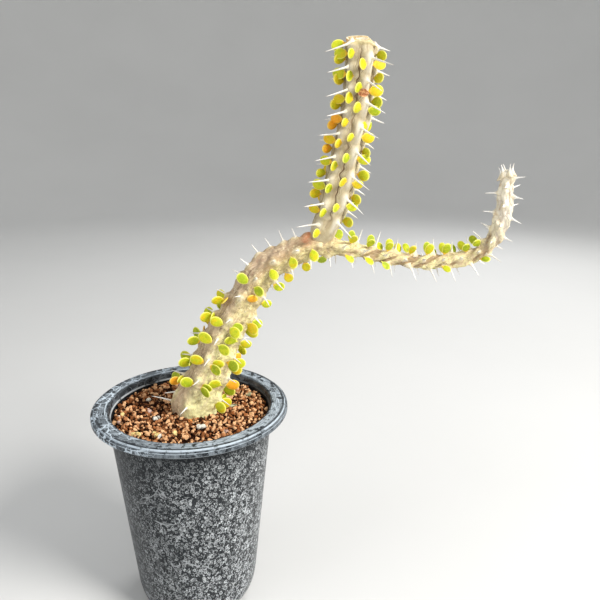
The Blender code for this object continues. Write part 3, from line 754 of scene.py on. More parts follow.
class Stem:
    """A stem's centre line, with its radius and its front and side directions at any length along it."""

    def __init__(self, knots):
        knots = np.array(knots) * MM
        padded = np.vstack([2 * knots[0] - knots[1], knots, 2 * knots[-1] - knots[-2]])
        fine = []
        for a, b, c, d in zip(padded, padded[1:], padded[2:], padded[3:]):
            count = max(2, int(np.linalg.norm((c - b)[:3]) / ROUTE_STEP))
            for t in np.linspace(0, 1, count, endpoint=False):
                square, cube = 2 * a - 5 * b + 4 * c - d, 3 * b - a - 3 * c + d
                fine.append(0.5 * (2 * b + (c - a) * t + square * t**2 + cube * t**3))
        fine = np.array([*fine, knots[-1]])
        self.places, self.radii = fine[:, :3], fine[:, 3]
        self.lengths = np.concatenate([[0], np.cumsum(np.linalg.norm(np.diff(self.places, axis=0), axis=1))])
        self.length = float(self.lengths[-1])

    def radius(self, along):
        return float(np.interp(along, self.lengths, self.radii))

    def point(self, along):
        return Vector([float(np.interp(along, self.lengths, self.places[:, k])) for k in range(3)])

    def frame(self, along):
        """(place, tangent, front, side): front looks to -Y, and side to the right of a stem that goes up."""
        ahead = self.point(min(along + FRAME_REACH, self.length))
        tangent = (ahead - self.point(max(along - FRAME_REACH, 0))).normalized()
        front = Vector((0, -1, 0))
        front = (front - tangent * front.dot(tangent)).normalized()
        return self.point(along), tangent, front, tangent.cross(front)

    def outwards(self, along, angle):
        _, _, front, side = self.frame(along)
        return front * math.cos(angle) + side * math.sin(angle)


def nodes_of(stem, first, angle, pitches, seed, lone_spines, crown_angles):
    """Each node's length along the stem, its angle round it, and the draws that shape what grows there."""
    even = [0.0] * NODE_DRAWS
    nodes = [(along, lone_angle, along / stem.length, even) for along, lone_angle in lone_spines]
    draw = random.Random(seed)
    along = first
    while along < stem.length - TIP_BARE:
        share = along / stem.length
        jitter = [draw.uniform(-1, 1) for _ in range(NODE_DRAWS)]
        node = along + jitter[0] * 0.7 * MM
        if crown_angles and share < BASE_SHARE and math.sin(angle) < 0:
            node = BASE_ALONG + (node - BASE_ALONG) * BASE_SQUEEZE
        nodes.append((node, angle + jitter[1] * 0.1, share, jitter))
        along += (pitches[0] + (pitches[1] - pitches[0]) * share) / RANKS
        angle += TURN
    return nodes + [(stem.length - CROWN_DROP, crown_angle, 1.0, even) for crown_angle in crown_angles]


class Skin:
    """Points round a stem, ring by ring. Bark is shaped in their terms: along, around, radius, relief."""

    def __init__(self, stem, sides, step):
        count = round(stem.length / step)
        self.stem = stem
        self.along = np.linspace(0, stem.length, count + 1)[:, None] * np.ones((1, sides))
        self.around = np.ones((count + 1, 1)) * np.linspace(0, 2 * math.pi, sides, endpoint=False)[None, :]
        self.radius = np.interp(self.along, stem.lengths, stem.radii)
        self.relief = np.zeros_like(self.along)
        frames = zip(*(stem.frame(float(along)) for along in self.along[:, 0]))
        self.places, self.tangents, front, side = (np.array(rows)[:, None] for rows in frames)
        self.out = front * np.cos(self.around)[..., None] + side * np.sin(self.around)[..., None]

    def from_node(self, along, angle):
        """Distances from a node, up the stem and round it, at every point."""
        turn = (self.around - angle + math.pi) % (2 * math.pi) - math.pi
        return self.along - along, turn * self.radius

    def straight(self, twist=0.0):
        """Places in the straightened stem, wound round it by twist, in which the bark's pattern is drawn."""
        wound = self.around + self.along * twist
        return np.stack([self.radius * np.cos(wound), self.radius * np.sin(wound), self.along], axis=-1)

    def field(self, scale, seed, stretch=1.0, twist=0.0):
        """A smooth noise over the straightened stem, drawn out along it by stretch."""
        spots = self.straight(twist) * scale
        spots[..., 2] = spots[..., 2] / stretch + seed
        return np.array([noise.noise(Vector(p)) for p in spots.reshape(-1, 3)]).reshape(self.along.shape)

    def mounds(self, nodes, size_of, unevenness):
        """A mound on every node: it falls off quickly above the node, and runs down the stem below it."""
        total = np.zeros_like(self.along)
        for along, angle, share, jitter in nodes:
            up, round_about = self.from_node(along, angle)
            above, below, wide = size_of(share)
            fall = np.where(up > 0, up / above, -up / below)
            mound = np.exp(-(np.abs(fall) ** 1.7) - np.abs(round_about / wide) ** 2.0)
            total = np.maximum(total, mound * (1 + unevenness * jitter[2]))
        return total

    def seams(self, nodes, squeeze, sway=0.0):
        """How far each point is from the wavy line between two ranks of nodes, in millimetres."""
        nearness = np.full((RANKS, *self.along.shape), 1e-30)
        for number, (along, angle, _, _) in enumerate(nodes):
            up, round_about = self.from_node(along, angle)
            away = np.sqrt((up / MM * squeeze) ** 2 + (round_about / MM + sway) ** 2)
            nearness[number % RANKS] += np.exp(-away / SEAM_SOFTNESS)
        ordered = np.sort(-SEAM_SOFTNESS * np.log(nearness), axis=0)
        return ordered[1] - ordered[0]

    def points(self, shear=0.0):
        """The skin's points, each let down along the stem by its shear."""
        reach = (self.radius + self.relief)[..., None]
        return self.places + self.out * reach - self.tangents * np.asarray(shear)[..., None]

    def piece(self, name, paint, shear=0.0, lids=(True, True)):
        faces = ring_faces(*self.along.shape, lids=lids)
        return new_piece(name, self.points(shear).reshape(-1, 3), faces, skin=self.straight(), **paint)


def lay_main_bark(skin, nodes):
    """Knobs under the spines, creases between their ranks, a lumpy trunk and twisted ridges on the arch."""
    length = skin.stem.length
    share = skin.along / length
    slim = ramp(share, *SLIM)
    knobs = skin.mounds(nodes, lambda at: KNOB + (SLIM_KNOB - KNOB) * ramp(at, *SLIM), 0.25)
    seams = skin.seams(nodes[len(LONE_SPINES) : -len(CROWN_ANGLES)], 0.42)
    crease = np.clip(1 - seams / 1.3, 0, 1) ** 1.5 * np.clip(0.5 + 1.6 * skin.field(160, 8.0, 2.0), 0, 1)
    ridges = skin.field(260, 6.0, 5.0, 170)
    lumps = skin.field(110, 0.0, 1.6) + skin.field(330, 3.0, 1.3) * 0.85 + skin.field(520, 12.0, 1.1) * 0.42
    skin.relief = (knobs - 0.30) * (2.5 - slim) + lumps * (1 - 0.4 * slim) + skin.field(900, 5.0, 1.6) * 0.16
    skin.relief = (skin.relief + ridges * 1.8 * slim - crease * (0.5 - 0.3 * slim)) * MM
    height = skin.places[..., 2]
    tucked = ramp(height, *TUCK_HEIGHTS)
    skin.relief -= TUCK * tucked**2 * (3 - 2 * tucked)
    skin.relief *= 1 - ramp(skin.along, length - 3 * MM, length)
    out_x, out_z = skin.out[..., 0], skin.out[..., 2]
    points = skin.points()
    from_branch = np.linalg.norm(points - BRANCH_FOOT, axis=-1)
    wound = np.exp(-(((from_branch - WOUND_RADIUS) / WOUND_WIDTH) ** 2)) * np.clip(out_z * 1.6 - 0.2, 0, 1)
    paint = {
        "knob": knobs,
        "crease": crease,
        "ridge": ridges,
        "slim": slim,
        # Painted shade: how much the left side, and the top above the foot, are painted darker, as if turned
        # from the light.
        "shady": np.clip(0.2 - 0.75 * out_x + 0.35 * out_z * (share > 0.2), 0, 1),
        "young": ramp(share, 0.84, 0.92),
        # The bend is painted darker, partly as shade where it turns from the light.
        "bend": np.exp(-(((share - 0.45) / 0.11) ** 2)),
        "wound": wound * ramp(points[..., 0], 79 * MM, 73 * MM),
        "foot": ramp(height, 152 * MM, 130 * MM) * np.ones_like(share),
    }
    return skin.piece("main_stem_bark", paint)


def grey_bark_finish():
    """Dry succulent bark: cream over tan and mauve, pale on its knobs, dark and fissured in its creases, with
    painted shade and highlight.
    """
    bark = Finish("grey_tan_bark", 0.3)
    skin = bark.painted("skin", "Vector")
    knob, shady, foot, slim, bend = (bark.painted(key) for key in ("knob", "shady", "foot", "slim", "bend"))
    patch = bark.cloud(95, 5, 0.62, skin, 0.6)
    blotch = bark.cloud(270, 5, 0.68, bark.stretched((1, 1, 0.7), skin), 0.5)
    speck = bark.cloud(900, 4, 0.7, skin)
    fleck = bark.cloud(470, 4, 0.66, skin, 0.8)
    fibre = bark.cloud(1, 4, 0.65, bark.stretched((1500, 1500, 260), skin))
    scales = bark.cells(430, bark.stretched((1, 1, 0.62), skin))
    cracks = bark.webs(300, bark.stretched((1, 1, 0.55), skin), 0.05, 0.01)
    # Mauve is partly the bark's own blotches and partly painted shade on the shady side.
    mauve = (shady * 0.8 + (blotch - 0.5)).span(0.15, 0.6) * knob.span(0.8, 0.3, 0.35, 1.0)

    warm = bark.blend(slim, (0.58, 0.45, 0.26), (0.61, 0.465, 0.28))
    pale = bark.blend(slim, (0.85, 0.79, 0.37), (0.78, 0.71, 0.35))
    bark.colour = bark.blend(blotch.span(0.36, 0.58), warm, pale)
    # Painted shade and tan on the bend.
    bark.over((0.385, 0.245, 0.12), bend, 0.86)
    # Yellow-green on the lit underside of the bend, where no shade is painted.
    bark.over((0.60, 0.54, 0.23), bend, shady.span(0.35, 0.05), patch.span(0.30, 0.50), 0.65)
    bark.over((0.36, 0.25, 0.15), scales.luck(5.1).span(0.1, 0.9), 0.22)
    bark.over((0.49, 0.36, 0.235), mauve, slim.span(0, 1, 0.92, 0.35))
    bark.over((0.83, 0.745, 0.47), fleck.span(0.54, 0.66), 0.6)
    bark.over((0.33, 0.195, 0.13), fleck.span(0.45, 0.34), 0.55)
    bark.over((0.29, 0.185, 0.09), bark.painted("ridge").span(-0.02, -0.22), slim, knob.span(0.7, 0.3), 0.9)
    bark.over((0.13, 0.075, 0.040), patch.span(0.50, 0.66), speck.span(0.46, 0.6), knob.span(0.7, 0.2), 0.6)
    bark.over((0.17, 0.10, 0.055), speck.span(0.58, 0.68), 0.35)
    # The pale foot colour is kept off the painted shade.
    bark.over((0.79, 0.79, 0.40), foot, patch.span(0.26, 0.50), shady.span(0.7, 0.25), 0.85)
    # Knob tops are painted paler, partly as highlight.
    bark.over((0.84, 0.77, 0.53), knob.span(0.6, 1.0), 0.6)
    bark.over((0.85, 0.80, 0.70), bark.painted("young"), blotch.span(0.3, 0.55), 0.75)
    bark.over((0.17, 0.095, 0.05), bark.painted("crease"), slim.span(0, 1, 0.8, 0.4))
    bark.over((0.14, 0.08, 0.045), cracks, blotch.span(0.45, 0.62), 0.6)
    bark.over((0.88, 0.80, 0.62), fibre.span(0.5, 0.68), 0.2)
    raw = bark.blend(speck.span(0.4, 0.6), (0.58, 0.19, 0.08), (0.70, 0.36, 0.20))
    bark.over(raw, bark.painted("wound"), blotch.span(0.30, 0.48), 0.85)
    scaly = bark.relief(scales, 0.35 * MM, 0.35)
    rough = bark.relief(bark.cloud(520, 6, 0.72, skin), 0.65 * MM, 0.5, scaly)
    return bark.finish(blotch.span(0.3, 0.7, 0.62, 0.85), bark.relief(fibre, 0.18 * MM, 0.6, rough))


main_stem = Stem(MAIN_STEM)
main_nodes = nodes_of(main_stem, *MAIN_NODES)
main_bark = lay_main_bark(Skin(main_stem, MAIN_SIDES, MAIN_RING_STEP), main_nodes)
main_bark.data.materials.append(grey_bark_finish())
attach(main_bark, "root")
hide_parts("main_stem")

# Upright branch
# A sturdier shoot stands on the bend, and was once cut off flat. Its pale bark is drawn up into smooth
# cushions that run down from every spine, and a dark wavy crease follows the line where two ranks meet.
UPRIGHT_BRANCH = (
    (78.4, 0.0, 236.0, 4.6),
    (78.8, 0.0, 239.5, 6.2),
    (79.6, 0.0, 242.5, 7.2),
    (81.0, -0.2, 246.5, 7.8),
    (83.2, -0.5, 252.0, 8.1),
    (87.1, -2.0, 266.7, 8.4),
    (92.0, -4.0, 289.5, 8.1),
    (95.3, -5.5, 309.2, 7.8),
    (96.9, -7.0, 331.9, 7.9),
    (97.0, -8.0, 344.2, 8.5),
)
UPRIGHT_NODES = (10.5 * MM, math.radians(-40), (14.4 * MM, 10.4 * MM), 23, (), ())
UPRIGHT_SIDES = 144
UPRIGHT_RING_STEP = 0.42 * MM
# How far a cushion reaches above its node, below it and to its sides.
CUSHION = (3.4 * MM, 10.0 * MM, 3.1 * MM)
SEAM_WAVE = 1.55 * MM
FOOT_REACH = 12 * MM
CUT_SLOPE_FRONT = 0.20
SHOULDER_FROM = 3.4 * MM
SHOULDER_SLOPE = 0.75
CUT_RUN_IN = 6 * MM
CUT_RINGS = 36


def cut_drop(front, side):
    """How far the cut lies below its middle: it slopes to the front, and its right shoulder is taken off."""
    return CUT_SLOPE_FRONT * front + SHOULDER_SLOPE * np.maximum(side - SHOULDER_FROM, 0)


def lay_upright_bark(skin, nodes):
    """Smooth cushions under the spines, a wavy crease between their ranks, and a top cut at a slope."""
    along, length = skin.along, skin.stem.length
    cushions = skin.mounds(nodes, lambda share: CUSHION, 0.12)
    wander = np.sin(along / SEAM_WAVE) * 0.45 + skin.field(260, 2.0, 0.8) * 1.7
    seams = skin.seams(nodes, 0.34, wander)
    line = np.clip(1.1 - seams / 0.8, 0, 1) * np.clip(0.85 + 1.2 * skin.field(120, 9.0, 3.0), 0.4, 1)
    at_foot = np.clip(1.6 - along / FOOT_REACH, 0, 1)
    near_top = ramp(along, length - 2.4 * MM, length)
    skin.relief = (cushions - 0.46) * 2.5 + skin.field(150, 0.0, 2.0) * 0.4 + skin.field(620, 4.0, 2.5) * 0.2
    skin.relief = (skin.relief - line * 0.6) * MM * (1 - at_foot) * (1 - 0.75 * near_top)
    skin.relief -= 0.35 * MM * near_top**4
    paint = {
        "knob": cushions,
        "seam": seams + 2.5 * at_foot,
        "valley": np.clip(1 - seams / 3.6, 0, 1) * (1 - 0.7 * at_foot),
        "line": line * (1 - at_foot),
        "foot": ramp(along, FOOT_REACH, 0),
        "top": ramp(along, length - 4.5 * MM, length),
        # The left side, where the cushions are painted less white as shade.
        "left": np.clip(-np.sin(skin.around), 0, 1),
    }
    reach = skin.radius + skin.relief
    shear = cut_drop(reach * np.cos(skin.around), reach * np.sin(skin.around))
    shear *= ramp(along, length - CUT_RUN_IN, length)
    return skin.piece("upright_bark", paint, shear, (True, False))


def pale_bark_finish():
    """Satin cream bark: near white on the cushions, partly as painted highlight and less on the left as
    painted shade, grey-tan between them, brown along the creases.
    """
    bark = Finish("pale_cream_bark", 0.3)
    skin = bark.painted("skin", "Vector")
    raised, seam, left, top = (bark.painted(key) for key in ("knob", "seam", "left", "top"))
    patch = bark.cloud(130, 5, 0.6, skin, 0.5)
    streak = bark.cloud(1, 4, 0.6, bark.stretched((620, 620, 110), skin))
    waves = abs((seam * 0.75).maths("FRACT") - 0.5).span(0.20, 0.07) * seam.span(4.2, 1.6)
    bark.colour = bark.blend(patch.span(0.35, 0.65), (0.42, 0.345, 0.205), (0.57, 0.495, 0.33))
    bark.over((0.36, 0.27, 0.155), streak.span(0.48, 0.66), 0.65)
    bark.over((0.34, 0.27, 0.17), bark.painted("valley").span(0.1, 1.0), patch.span(0.75, 0.35), 0.85)
    # Cushions painted near white, partly as highlight, and less white on the left as painted shade.
    bark.over((0.74, 0.68, 0.55), raised.span(0.30, 0.95), left.span(0.0, 0.7, 1.0, 0.55), 0.85)
    bark.over((0.26, 0.18, 0.10), bark.cloud(1100, 4, 0.7, skin).span(0.6, 0.72), 0.45)
    bark.over((0.20, 0.135, 0.07), waves, patch.span(0.34, 0.46), 0.8)
    bark.over((0.21, 0.14, 0.075), bark.painted("line").span(0.1, 0.7))
    bark.over((0.64, 0.50, 0.32), bark.painted("foot").span(0.6, 1.0), 0.45)
    bark.over((0.72, 0.60, 0.30), top.span(0.25, 0.8), 0.65)
    bark.over((0.80, 0.36, 0.13), top.span(0.3, 0.8), left.span(0.55, 0.95), 0.6)
    rough = bark.relief(bark.cloud(600, 5, 0.65, skin), 0.35 * MM, 0.5)
    return bark.finish(raised.span(0.2, 0.9, 0.68, 0.5), bark.relief(streak, 0.14 * MM, 0.55, rough))


upright = Stem(UPRIGHT_BRANCH)
upright_nodes = nodes_of(upright, *UPRIGHT_NODES)
upright_skin = Skin(upright, UPRIGHT_SIDES, UPRIGHT_RING_STEP)
upright_bark = lay_upright_bark(upright_skin, upright_nodes)
upright_bark.data.materials.append(pale_bark_finish())
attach(upright_bark, "root")
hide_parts("upright_branch")


def lay_cut_face(skin):
    """The dried cut: a callus rim round a woody ring, with a soft pith that has shrunk into a shallow pit."""
    place, tangent, front, side = skin.stem.frame(skin.stem.length)
    points, depth = [], []
    for out in np.linspace(0, 1, CUT_RINGS + 1):
        for edge, turn in zip(skin.radius[-1] + skin.relief[-1], skin.around[-1]):
            x, y = edge * out * math.cos(turn), edge * out * math.sin(turn)
            pit = 1.5 * (1 - min(out / 0.42, 1) ** 2) ** 1.5
            groove = 0.35 * math.exp(-(((out - 0.47) / 0.05) ** 2))
            groove += 0.28 * math.exp(-(((out - 0.83) / 0.035) ** 2))
            rough = 0.30 * noise.noise(Vector((x, y, 0)) * 420) + 0.16 * noise.noise(Vector((x, y, 1)) * 1300)
            rays = 0.10 * math.sin(26 * turn + 5 * noise.noise(Vector((x, y, 2)) * 300)) * (0.5 < out < 0.82)
            sunk = (pit + groove - rough - rays) * MM * (1 - out**10)
            points.append(place + front * x + side * y - tangent * float(cut_drop(x, y) + sunk))
            depth.append(out)
    return new_piece("cut_face", points, flipped(ring_faces(CUT_RINGS + 1, UPRIGHT_SIDES)), ring=depth)


def cut_finish():
    """Weathered cut wood: soft pale pith, a tan ring of wood, a darker cambium line and a cream callus."""
    cut = Finish("dried_cut")
    out = cut.painted("ring") + cut.cloud(500, 3).span(0.2, 0.8, -0.035, 0.035)
    grain = cut.cloud(1500, 5, 0.7)
    cut.colour = cut.blend(out.span(0.36, 0.46), (0.66, 0.58, 0.42), (0.62, 0.45, 0.22))
    cut.over((0.30, 0.19, 0.09), out.span(0.43, 0.47), out.span(0.53, 0.49))
    cut.over((0.38, 0.25, 0.11), out.span(0.80, 0.84))
    cut.over((0.80, 0.71, 0.47), out.span(0.86, 0.92))
    cut.over((0.36, 0.26, 0.15), grain.span(0.5, 0.72), 0.5)
    return cut.finish(0.82, cut.relief(grain, 0.18 * MM, 0.7))


cut_face = lay_cut_face(upright_skin)
cut_face.data.materials.append(cut_finish())
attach(cut_face, "root")

# Spines
# Stiff woody thorns, one to a node. Each rises from a flared foot of bark and narrows to a sharp grey-white
# shaft, and it is set in its knob, not jointed to it.
SPINE_RING_SIDES = 12
SPINE_ROOT_DEPTH = 1.7 * MM
SPINE_FLARE = 2.6 * MM
SPINE_POINT = 0.05 * MM
CROWN_LENGTH = 4 * MM
CROWN_LEAN = 2.6
CROWN_SPINE = 5.0 * MM
LOWEST_SHARE = 0.135
LOWEST_SPINE = 14.0 * MM
LOWEST_LEAN = 0.12
TRUNK_SPINE = 9.0 * MM
TRUNK_SPINE_LOSS = 3.2 * MM
ARCH_SPINE = 8.8 * MM
UNDER_ARCH_LEAN = 0.33
TIP_SPINE = 6.8 * MM
UPRIGHT_SPINE = 13.6 * MM
UPRIGHT_BACK_SPINE = 8.6 * MM
UPRIGHT_LEAN = -0.34
# The radii of a spine's foot and of its shaft.
TRUNK_RADII = (1.9 * MM, 0.62 * MM)
ARCH_RADII = (2.1 * MM, 0.56 * MM)
UPRIGHT_RADII = (2.2 * MM, 0.66 * MM)
SPINE_SEED = 41
FLARE_STEPS = (0.0, 0.35, 0.62, 0.85)
SHAFT_STEPS = 9
HOOK = 0.15
SLIGHT_HOOK = 0.06
CAD_REACH = 0.12 * MM


def kept_in_cad(node):
    """Whether a growth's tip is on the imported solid, which leaves out what would touch another piece."""
    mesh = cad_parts[node].data
    tree = BVHTree.FromPolygons([v.co for v in mesh.vertices], [p.vertices for p in mesh.polygons])
    return lambda place: tree.find_nearest(place)[3] < CAD_REACH


def main_spine_length(share):
    """Spines get shorter up the trunk, are longer again on the arch, and short at the young tip."""
    if share > TIP_FROM:
        return TIP_SPINE
    return ARCH_SPINE if share > ARCH_FROM else TRUNK_SPINE - TRUNK_SPINE_LOSS * share


def spine_of(is_main, stem, along, angle, share, jitter):
    """A spine's foot on the skin, its direction, the stem's tangent there and its length."""
    place, tangent, _, _ = stem.frame(along)
    out = stem.outwards(along, angle)
    round_about = tangent.cross(out)
    if is_main:
        length = main_spine_length(share) + 1.4 * MM * jitter[2]
        lean = 0.15 * jitter[3] - (0.25 if share < 0.3 and math.sin(angle) < 0 else 0.0)
        sideways = 0.2 * jitter[4]
        if share < LOWEST_SHARE and math.sin(angle) < 0:
            lean, length = LOWEST_LEAN, LOWEST_SPINE
        if ARCH_FROM < share < TIP_FROM and math.sin(angle) > 0.3:
            lean += UNDER_ARCH_LEAN
        if along > stem.length - CROWN_LENGTH:
            lean, length = CROWN_LEAN, CROWN_SPINE
    else:
        length = (UPRIGHT_SPINE if math.cos(angle) > 0 else UPRIGHT_BACK_SPINE) + 1.2 * MM * jitter[2]
        lean = UPRIGHT_LEAN + 0.05 * jitter[3]
        sideways = max(math.cos(angle), 0) * 0.95 * math.sin(angle) + 0.1 * jitter[4]
    direction = (out + tangent * lean + round_about * sideways).normalized()
    return place + out * stem.radius(along), direction, tangent, length


def thorn(foot, direction, tangent, length, foot_radius, shaft_radius, hook, draw):
    """Rings of a spine from inside its knob to its tip, slightly curved, and how far out each ring is."""
    across = direction.cross(tangent).normalized()
    upward = across.cross(direction).normalized()
    swing = (across * draw.uniform(-1, 1) + upward * draw.uniform(-1, 1)) * hook * length
    rise_by = SPINE_ROOT_DEPTH + SPINE_FLARE
    heights = [step * rise_by - SPINE_ROOT_DEPTH for step in FLARE_STEPS]
    heights += list(np.linspace(SPINE_FLARE * 1.1, length, SHAFT_STEPS))
    rings, shares = [], []
    for height in heights:
        rise = min(max((height + SPINE_ROOT_DEPTH) / rise_by, 0), 1)
        out = min(max(height / length, 0), 1)
        radius = shaft_radius * (1 - out) ** 0.72 + SPINE_POINT
        radius += (foot_radius - shaft_radius) * (1 - rise) ** 1.7
        stretch = 1 + 0.45 * (1 - rise)
        middle = foot + direction * height + swing * out * out - upward * radius * (stretch - 1)
        for corner in range(SPINE_RING_SIDES):
            turn = 2 * math.pi * corner / SPINE_RING_SIDES
            rings.append(middle + (upward * math.cos(turn) * stretch + across * math.sin(turn)) * radius)
            shares.append(out)
    return rings, shares, len(heights)


def grow_spines(name, is_main, stem, nodes, kept):
    draw = random.Random(SPINE_SEED + is_main)
    points, faces, reach, tones = [], [], [], []
    for along, angle, share, jitter in nodes:
        foot, direction, tangent, length = spine_of(is_main, stem, along, angle, share, jitter)
        if not kept(foot + direction * length):
            continue
        radii = UPRIGHT_RADII
        if is_main:
            radii = [float(np.interp(share, SLIM, ends)) for ends in zip(TRUNK_RADII, ARCH_RADII)]
        hooked = is_main and BEND_FROM < share < ARCH_FROM + 0.05 and math.sin(angle) > 0
        hook = HOOK if hooked else SLIGHT_HOOK
        rings, shares, count = thorn(foot, direction, tangent, length, *radii, hook, draw)
        faces += ring_faces(count, SPINE_RING_SIDES, len(points), (True, True))
        points += rings
        reach += shares
        tones += [draw.random()] * len(rings)
    return new_piece(name, points, faces, out=reach, tone=tones)


def spine_finish(name, foot_colour):
    """Hard half-gloss thorn: a bark-coloured foot, a grey-white shaft and a slightly brown tip."""
    horn = Finish(name)
    out = horn.painted("out")
    horn.colour = horn.blend(horn.painted("tone"), (0.66, 0.63, 0.57), (0.86, 0.85, 0.81))
    horn.over((0.48, 0.43, 0.36), horn.cloud(1300, 4).span(0.45, 0.7), 0.35)
    horn.over(foot_colour, out.span(0.34, 0.02))
    horn.over((0.42, 0.30, 0.20), out.span(0.9, 1.0), 0.6)
    return horn.finish(out.span(0.05, 0.4, 0.6, 0.38), horn.relief(horn.cloud(1700, 4), 0.08 * MM, 0.5))


main_kept, upright_kept = kept_in_cad("main_stem"), kept_in_cad("upright_branch")
main_spines = grow_spines("main_stem_spines", True, main_stem, main_nodes, main_kept)
main_spines.data.materials.append(spine_finish("white_spine", (0.74, 0.64, 0.46)))
upright_spines = grow_spines("upright_spines", False, upright, upright_nodes, upright_kept)
upright_spines.data.materials.append(spine_finish("cream_spine", (0.86, 0.79, 0.62)))
for spines, slot_name in ((main_spines, "grey_bark"), (upright_spines, "pale_bark")):
    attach(spines, "root")

# Leaves
# Small fleshy discs in pairs under the spines, each on a short neck that is sunk into the bark. They are lime
# green with a paler rim, and ripen to yellow and orange before they drop.
LEAVES_FROM = 52 * MM
UPRIGHT_LEAVES_FROM = 18.5 * MM
TRUNK_LEAF = 7.7 * MM
BEND_LEAF = 6.5 * MM
ARCH_LEAF = 6.3 * MM
UNDER_ARCH_LEAF = 5.5 * MM
TOP_LEAF = (108.3 * MM, math.radians(-88))
UPRIGHT_LEAF = 6.5 * MM
FACE_FROM = math.radians(55)
UPRIGHT_FACE_FROM = math.radians(32)
EXTRA_LEAF_SPLAY = 38
EXTRA_LEAF_RISE = 2.6 * MM
EXTRA_LEAF_SHARE = 0.82
LEAF_DROP = 4.4 * MM
LEAVES_APART = 2.2 * MM
ARCH_LEAVES_APART = 1.3 * MM
LEAF_ROOT = 1.3 * MM
LEAF_NECK = 0.9 * MM
LEAF_BODY_FROM = 0.3 * MM
LEAF_THICKNESS = 1.25 * MM
YOUNG_LEAF = 6.8 * MM
LEAF_WIDTH_SHARE = 0.76
ARCH_LEAF_WIDTH_SHARE = 0.66
LEAF_SEGMENTS = 28
LEAF_RINGS = (0.4, 0.68, 0.86, 0.96, 1.0)
NECK_SHARPNESS = 110
LEAF_SEED = 17
WITHERED_AT = (85.5 * MM, math.radians(8))
WITHERED_LENGTH = 5.6 * MM
WITHERED_LIFT = 0.9 * MM
WITHERED_BACK = 2.6 * MM


def leaf_hands(is_main, along, share, angle, chance):
    """The sides that a node has a leaf on, and 2 or -2 for a second, younger one there.

    Few grow under the arch, and none on the back of the bend or on the young tip.
    """
    if not is_main:
        return (-1, 1) if along > UPRIGHT_LEAVES_FROM else (1,) if along < UPRIGHT_NODES[0] + 1 * MM else ()
    upwards, facing = -math.sin(angle), math.cos(angle)
    if along < LEAVES_FROM or share > TIP_FROM:
        return ()
    if share > ARCH_FROM:
        if upwards > 0.6:
            return (-1, 1)
        if facing > 0:
            return (-1,) if upwards < -0.5 and chance > -0.4 else ()
        return (1,) if chance > 0 else ()
    if share > BEND_FROM + 0.07 and facing > 0.3:
        return (1,)
    if share > BEND_FROM:
        return () if upwards > 0.3 or facing < 0 else (-1, 1)
    return (-1, 1, 2) if chance > 0 else (-1, 1, -2) if chance < -0.45 else (-1, 1)


def leaf_length(is_main, share, angle):
    if not is_main:
        return UPRIGHT_LEAF
    if share < ARCH_FROM:
        return TRUNK_LEAF if share < BEND_FROM else BEND_LEAF
    return ARCH_LEAF if math.sin(angle) < 0 else UNDER_ARCH_LEAF


def leaf_splay(is_main, share, angle, hand):
    """How far a leaf leans away from its spine, in degrees."""
    if is_main and share > ARCH_FROM:
        return 14 if math.sin(angle) < 0 else -8
    if is_main:
        return 26 + 30 * abs(math.cos(angle)) + EXTRA_LEAF_SPLAY * (abs(hand) > 1)
    return 44 + 20 * hand * math.sin(angle) * max(math.cos(angle), 0) ** 0.5


def faced(is_main, angle, side, splay):
    """A leaf's splay, changed where the leaf would point straight ahead, so that its face shows in front."""
    heading = (angle + side * splay + math.pi) % (2 * math.pi) - math.pi
    wanted = math.copysign(FACE_FROM, heading) if is_main else -UPRIGHT_FACE_FROM
    return splay if abs(heading) > abs(wanted) else splay + side * (wanted - heading)


def upright_to(way, heading):
    """The part of a direction that is at right angles to the heading."""
    return (way - heading * way.dot(heading)).normalized()


def leaves_of(is_main, stem, nodes):
    """Yields each leaf's foot, heading, width direction and length, and its node's share and angle."""
    for along, angle, share, jitter in nodes:
        for hand in leaf_hands(is_main, along, share, angle, jitter[13]):
            shape = jitter[5:9] if hand < 0 else jitter[9:13]
            side, extra = (1 if hand > 0 else -1), abs(hand) > 1
            below = along - LEAF_DROP - 1.2 * MM * shape[0] + EXTRA_LEAF_RISE * extra
            apart = ARCH_LEAVES_APART if is_main and share > ARCH_FROM else LEAVES_APART
            foot_angle = angle + side * apart / stem.radius(below)
            out = stem.outwards(below, foot_angle)
            place, tangent, _, _ = stem.frame(below)
            splay = math.radians(leaf_splay(is_main, share, angle, hand) + 12 * shape[1])
            if not extra and (share < ARCH_FROM or not is_main):
                splay = faced(is_main, foot_angle, side, splay)
            heading = out * math.cos(splay) + tangent.cross(out) * side * math.sin(splay)
            under = is_main and share > ARCH_FROM and math.sin(angle) > 0
            heading = (heading + tangent * (0.2 * shape[2] + 1.5 * under)).normalized()
            width_way = upright_to((tangent + out * 0.35 * shape[3]).normalized(), heading)
            size = leaf_length(is_main, share, angle) + 0.7 * MM * shape[2]
            size *= EXTRA_LEAF_SHARE if extra else 1
            yield place + out * stem.radius(below), heading, width_way, size, share, angle
    if not is_main:
        place, tangent, _, _ = stem.frame(TOP_LEAF[0])
        out = stem.outwards(*TOP_LEAF)
        heading = (out - tangent * 0.25).normalized()
        foot = place + out * stem.radius(TOP_LEAF[0])
        yield foot, heading, upright_to(tangent, heading), UPRIGHT_LEAF, 1.0, TOP_LEAF[1]


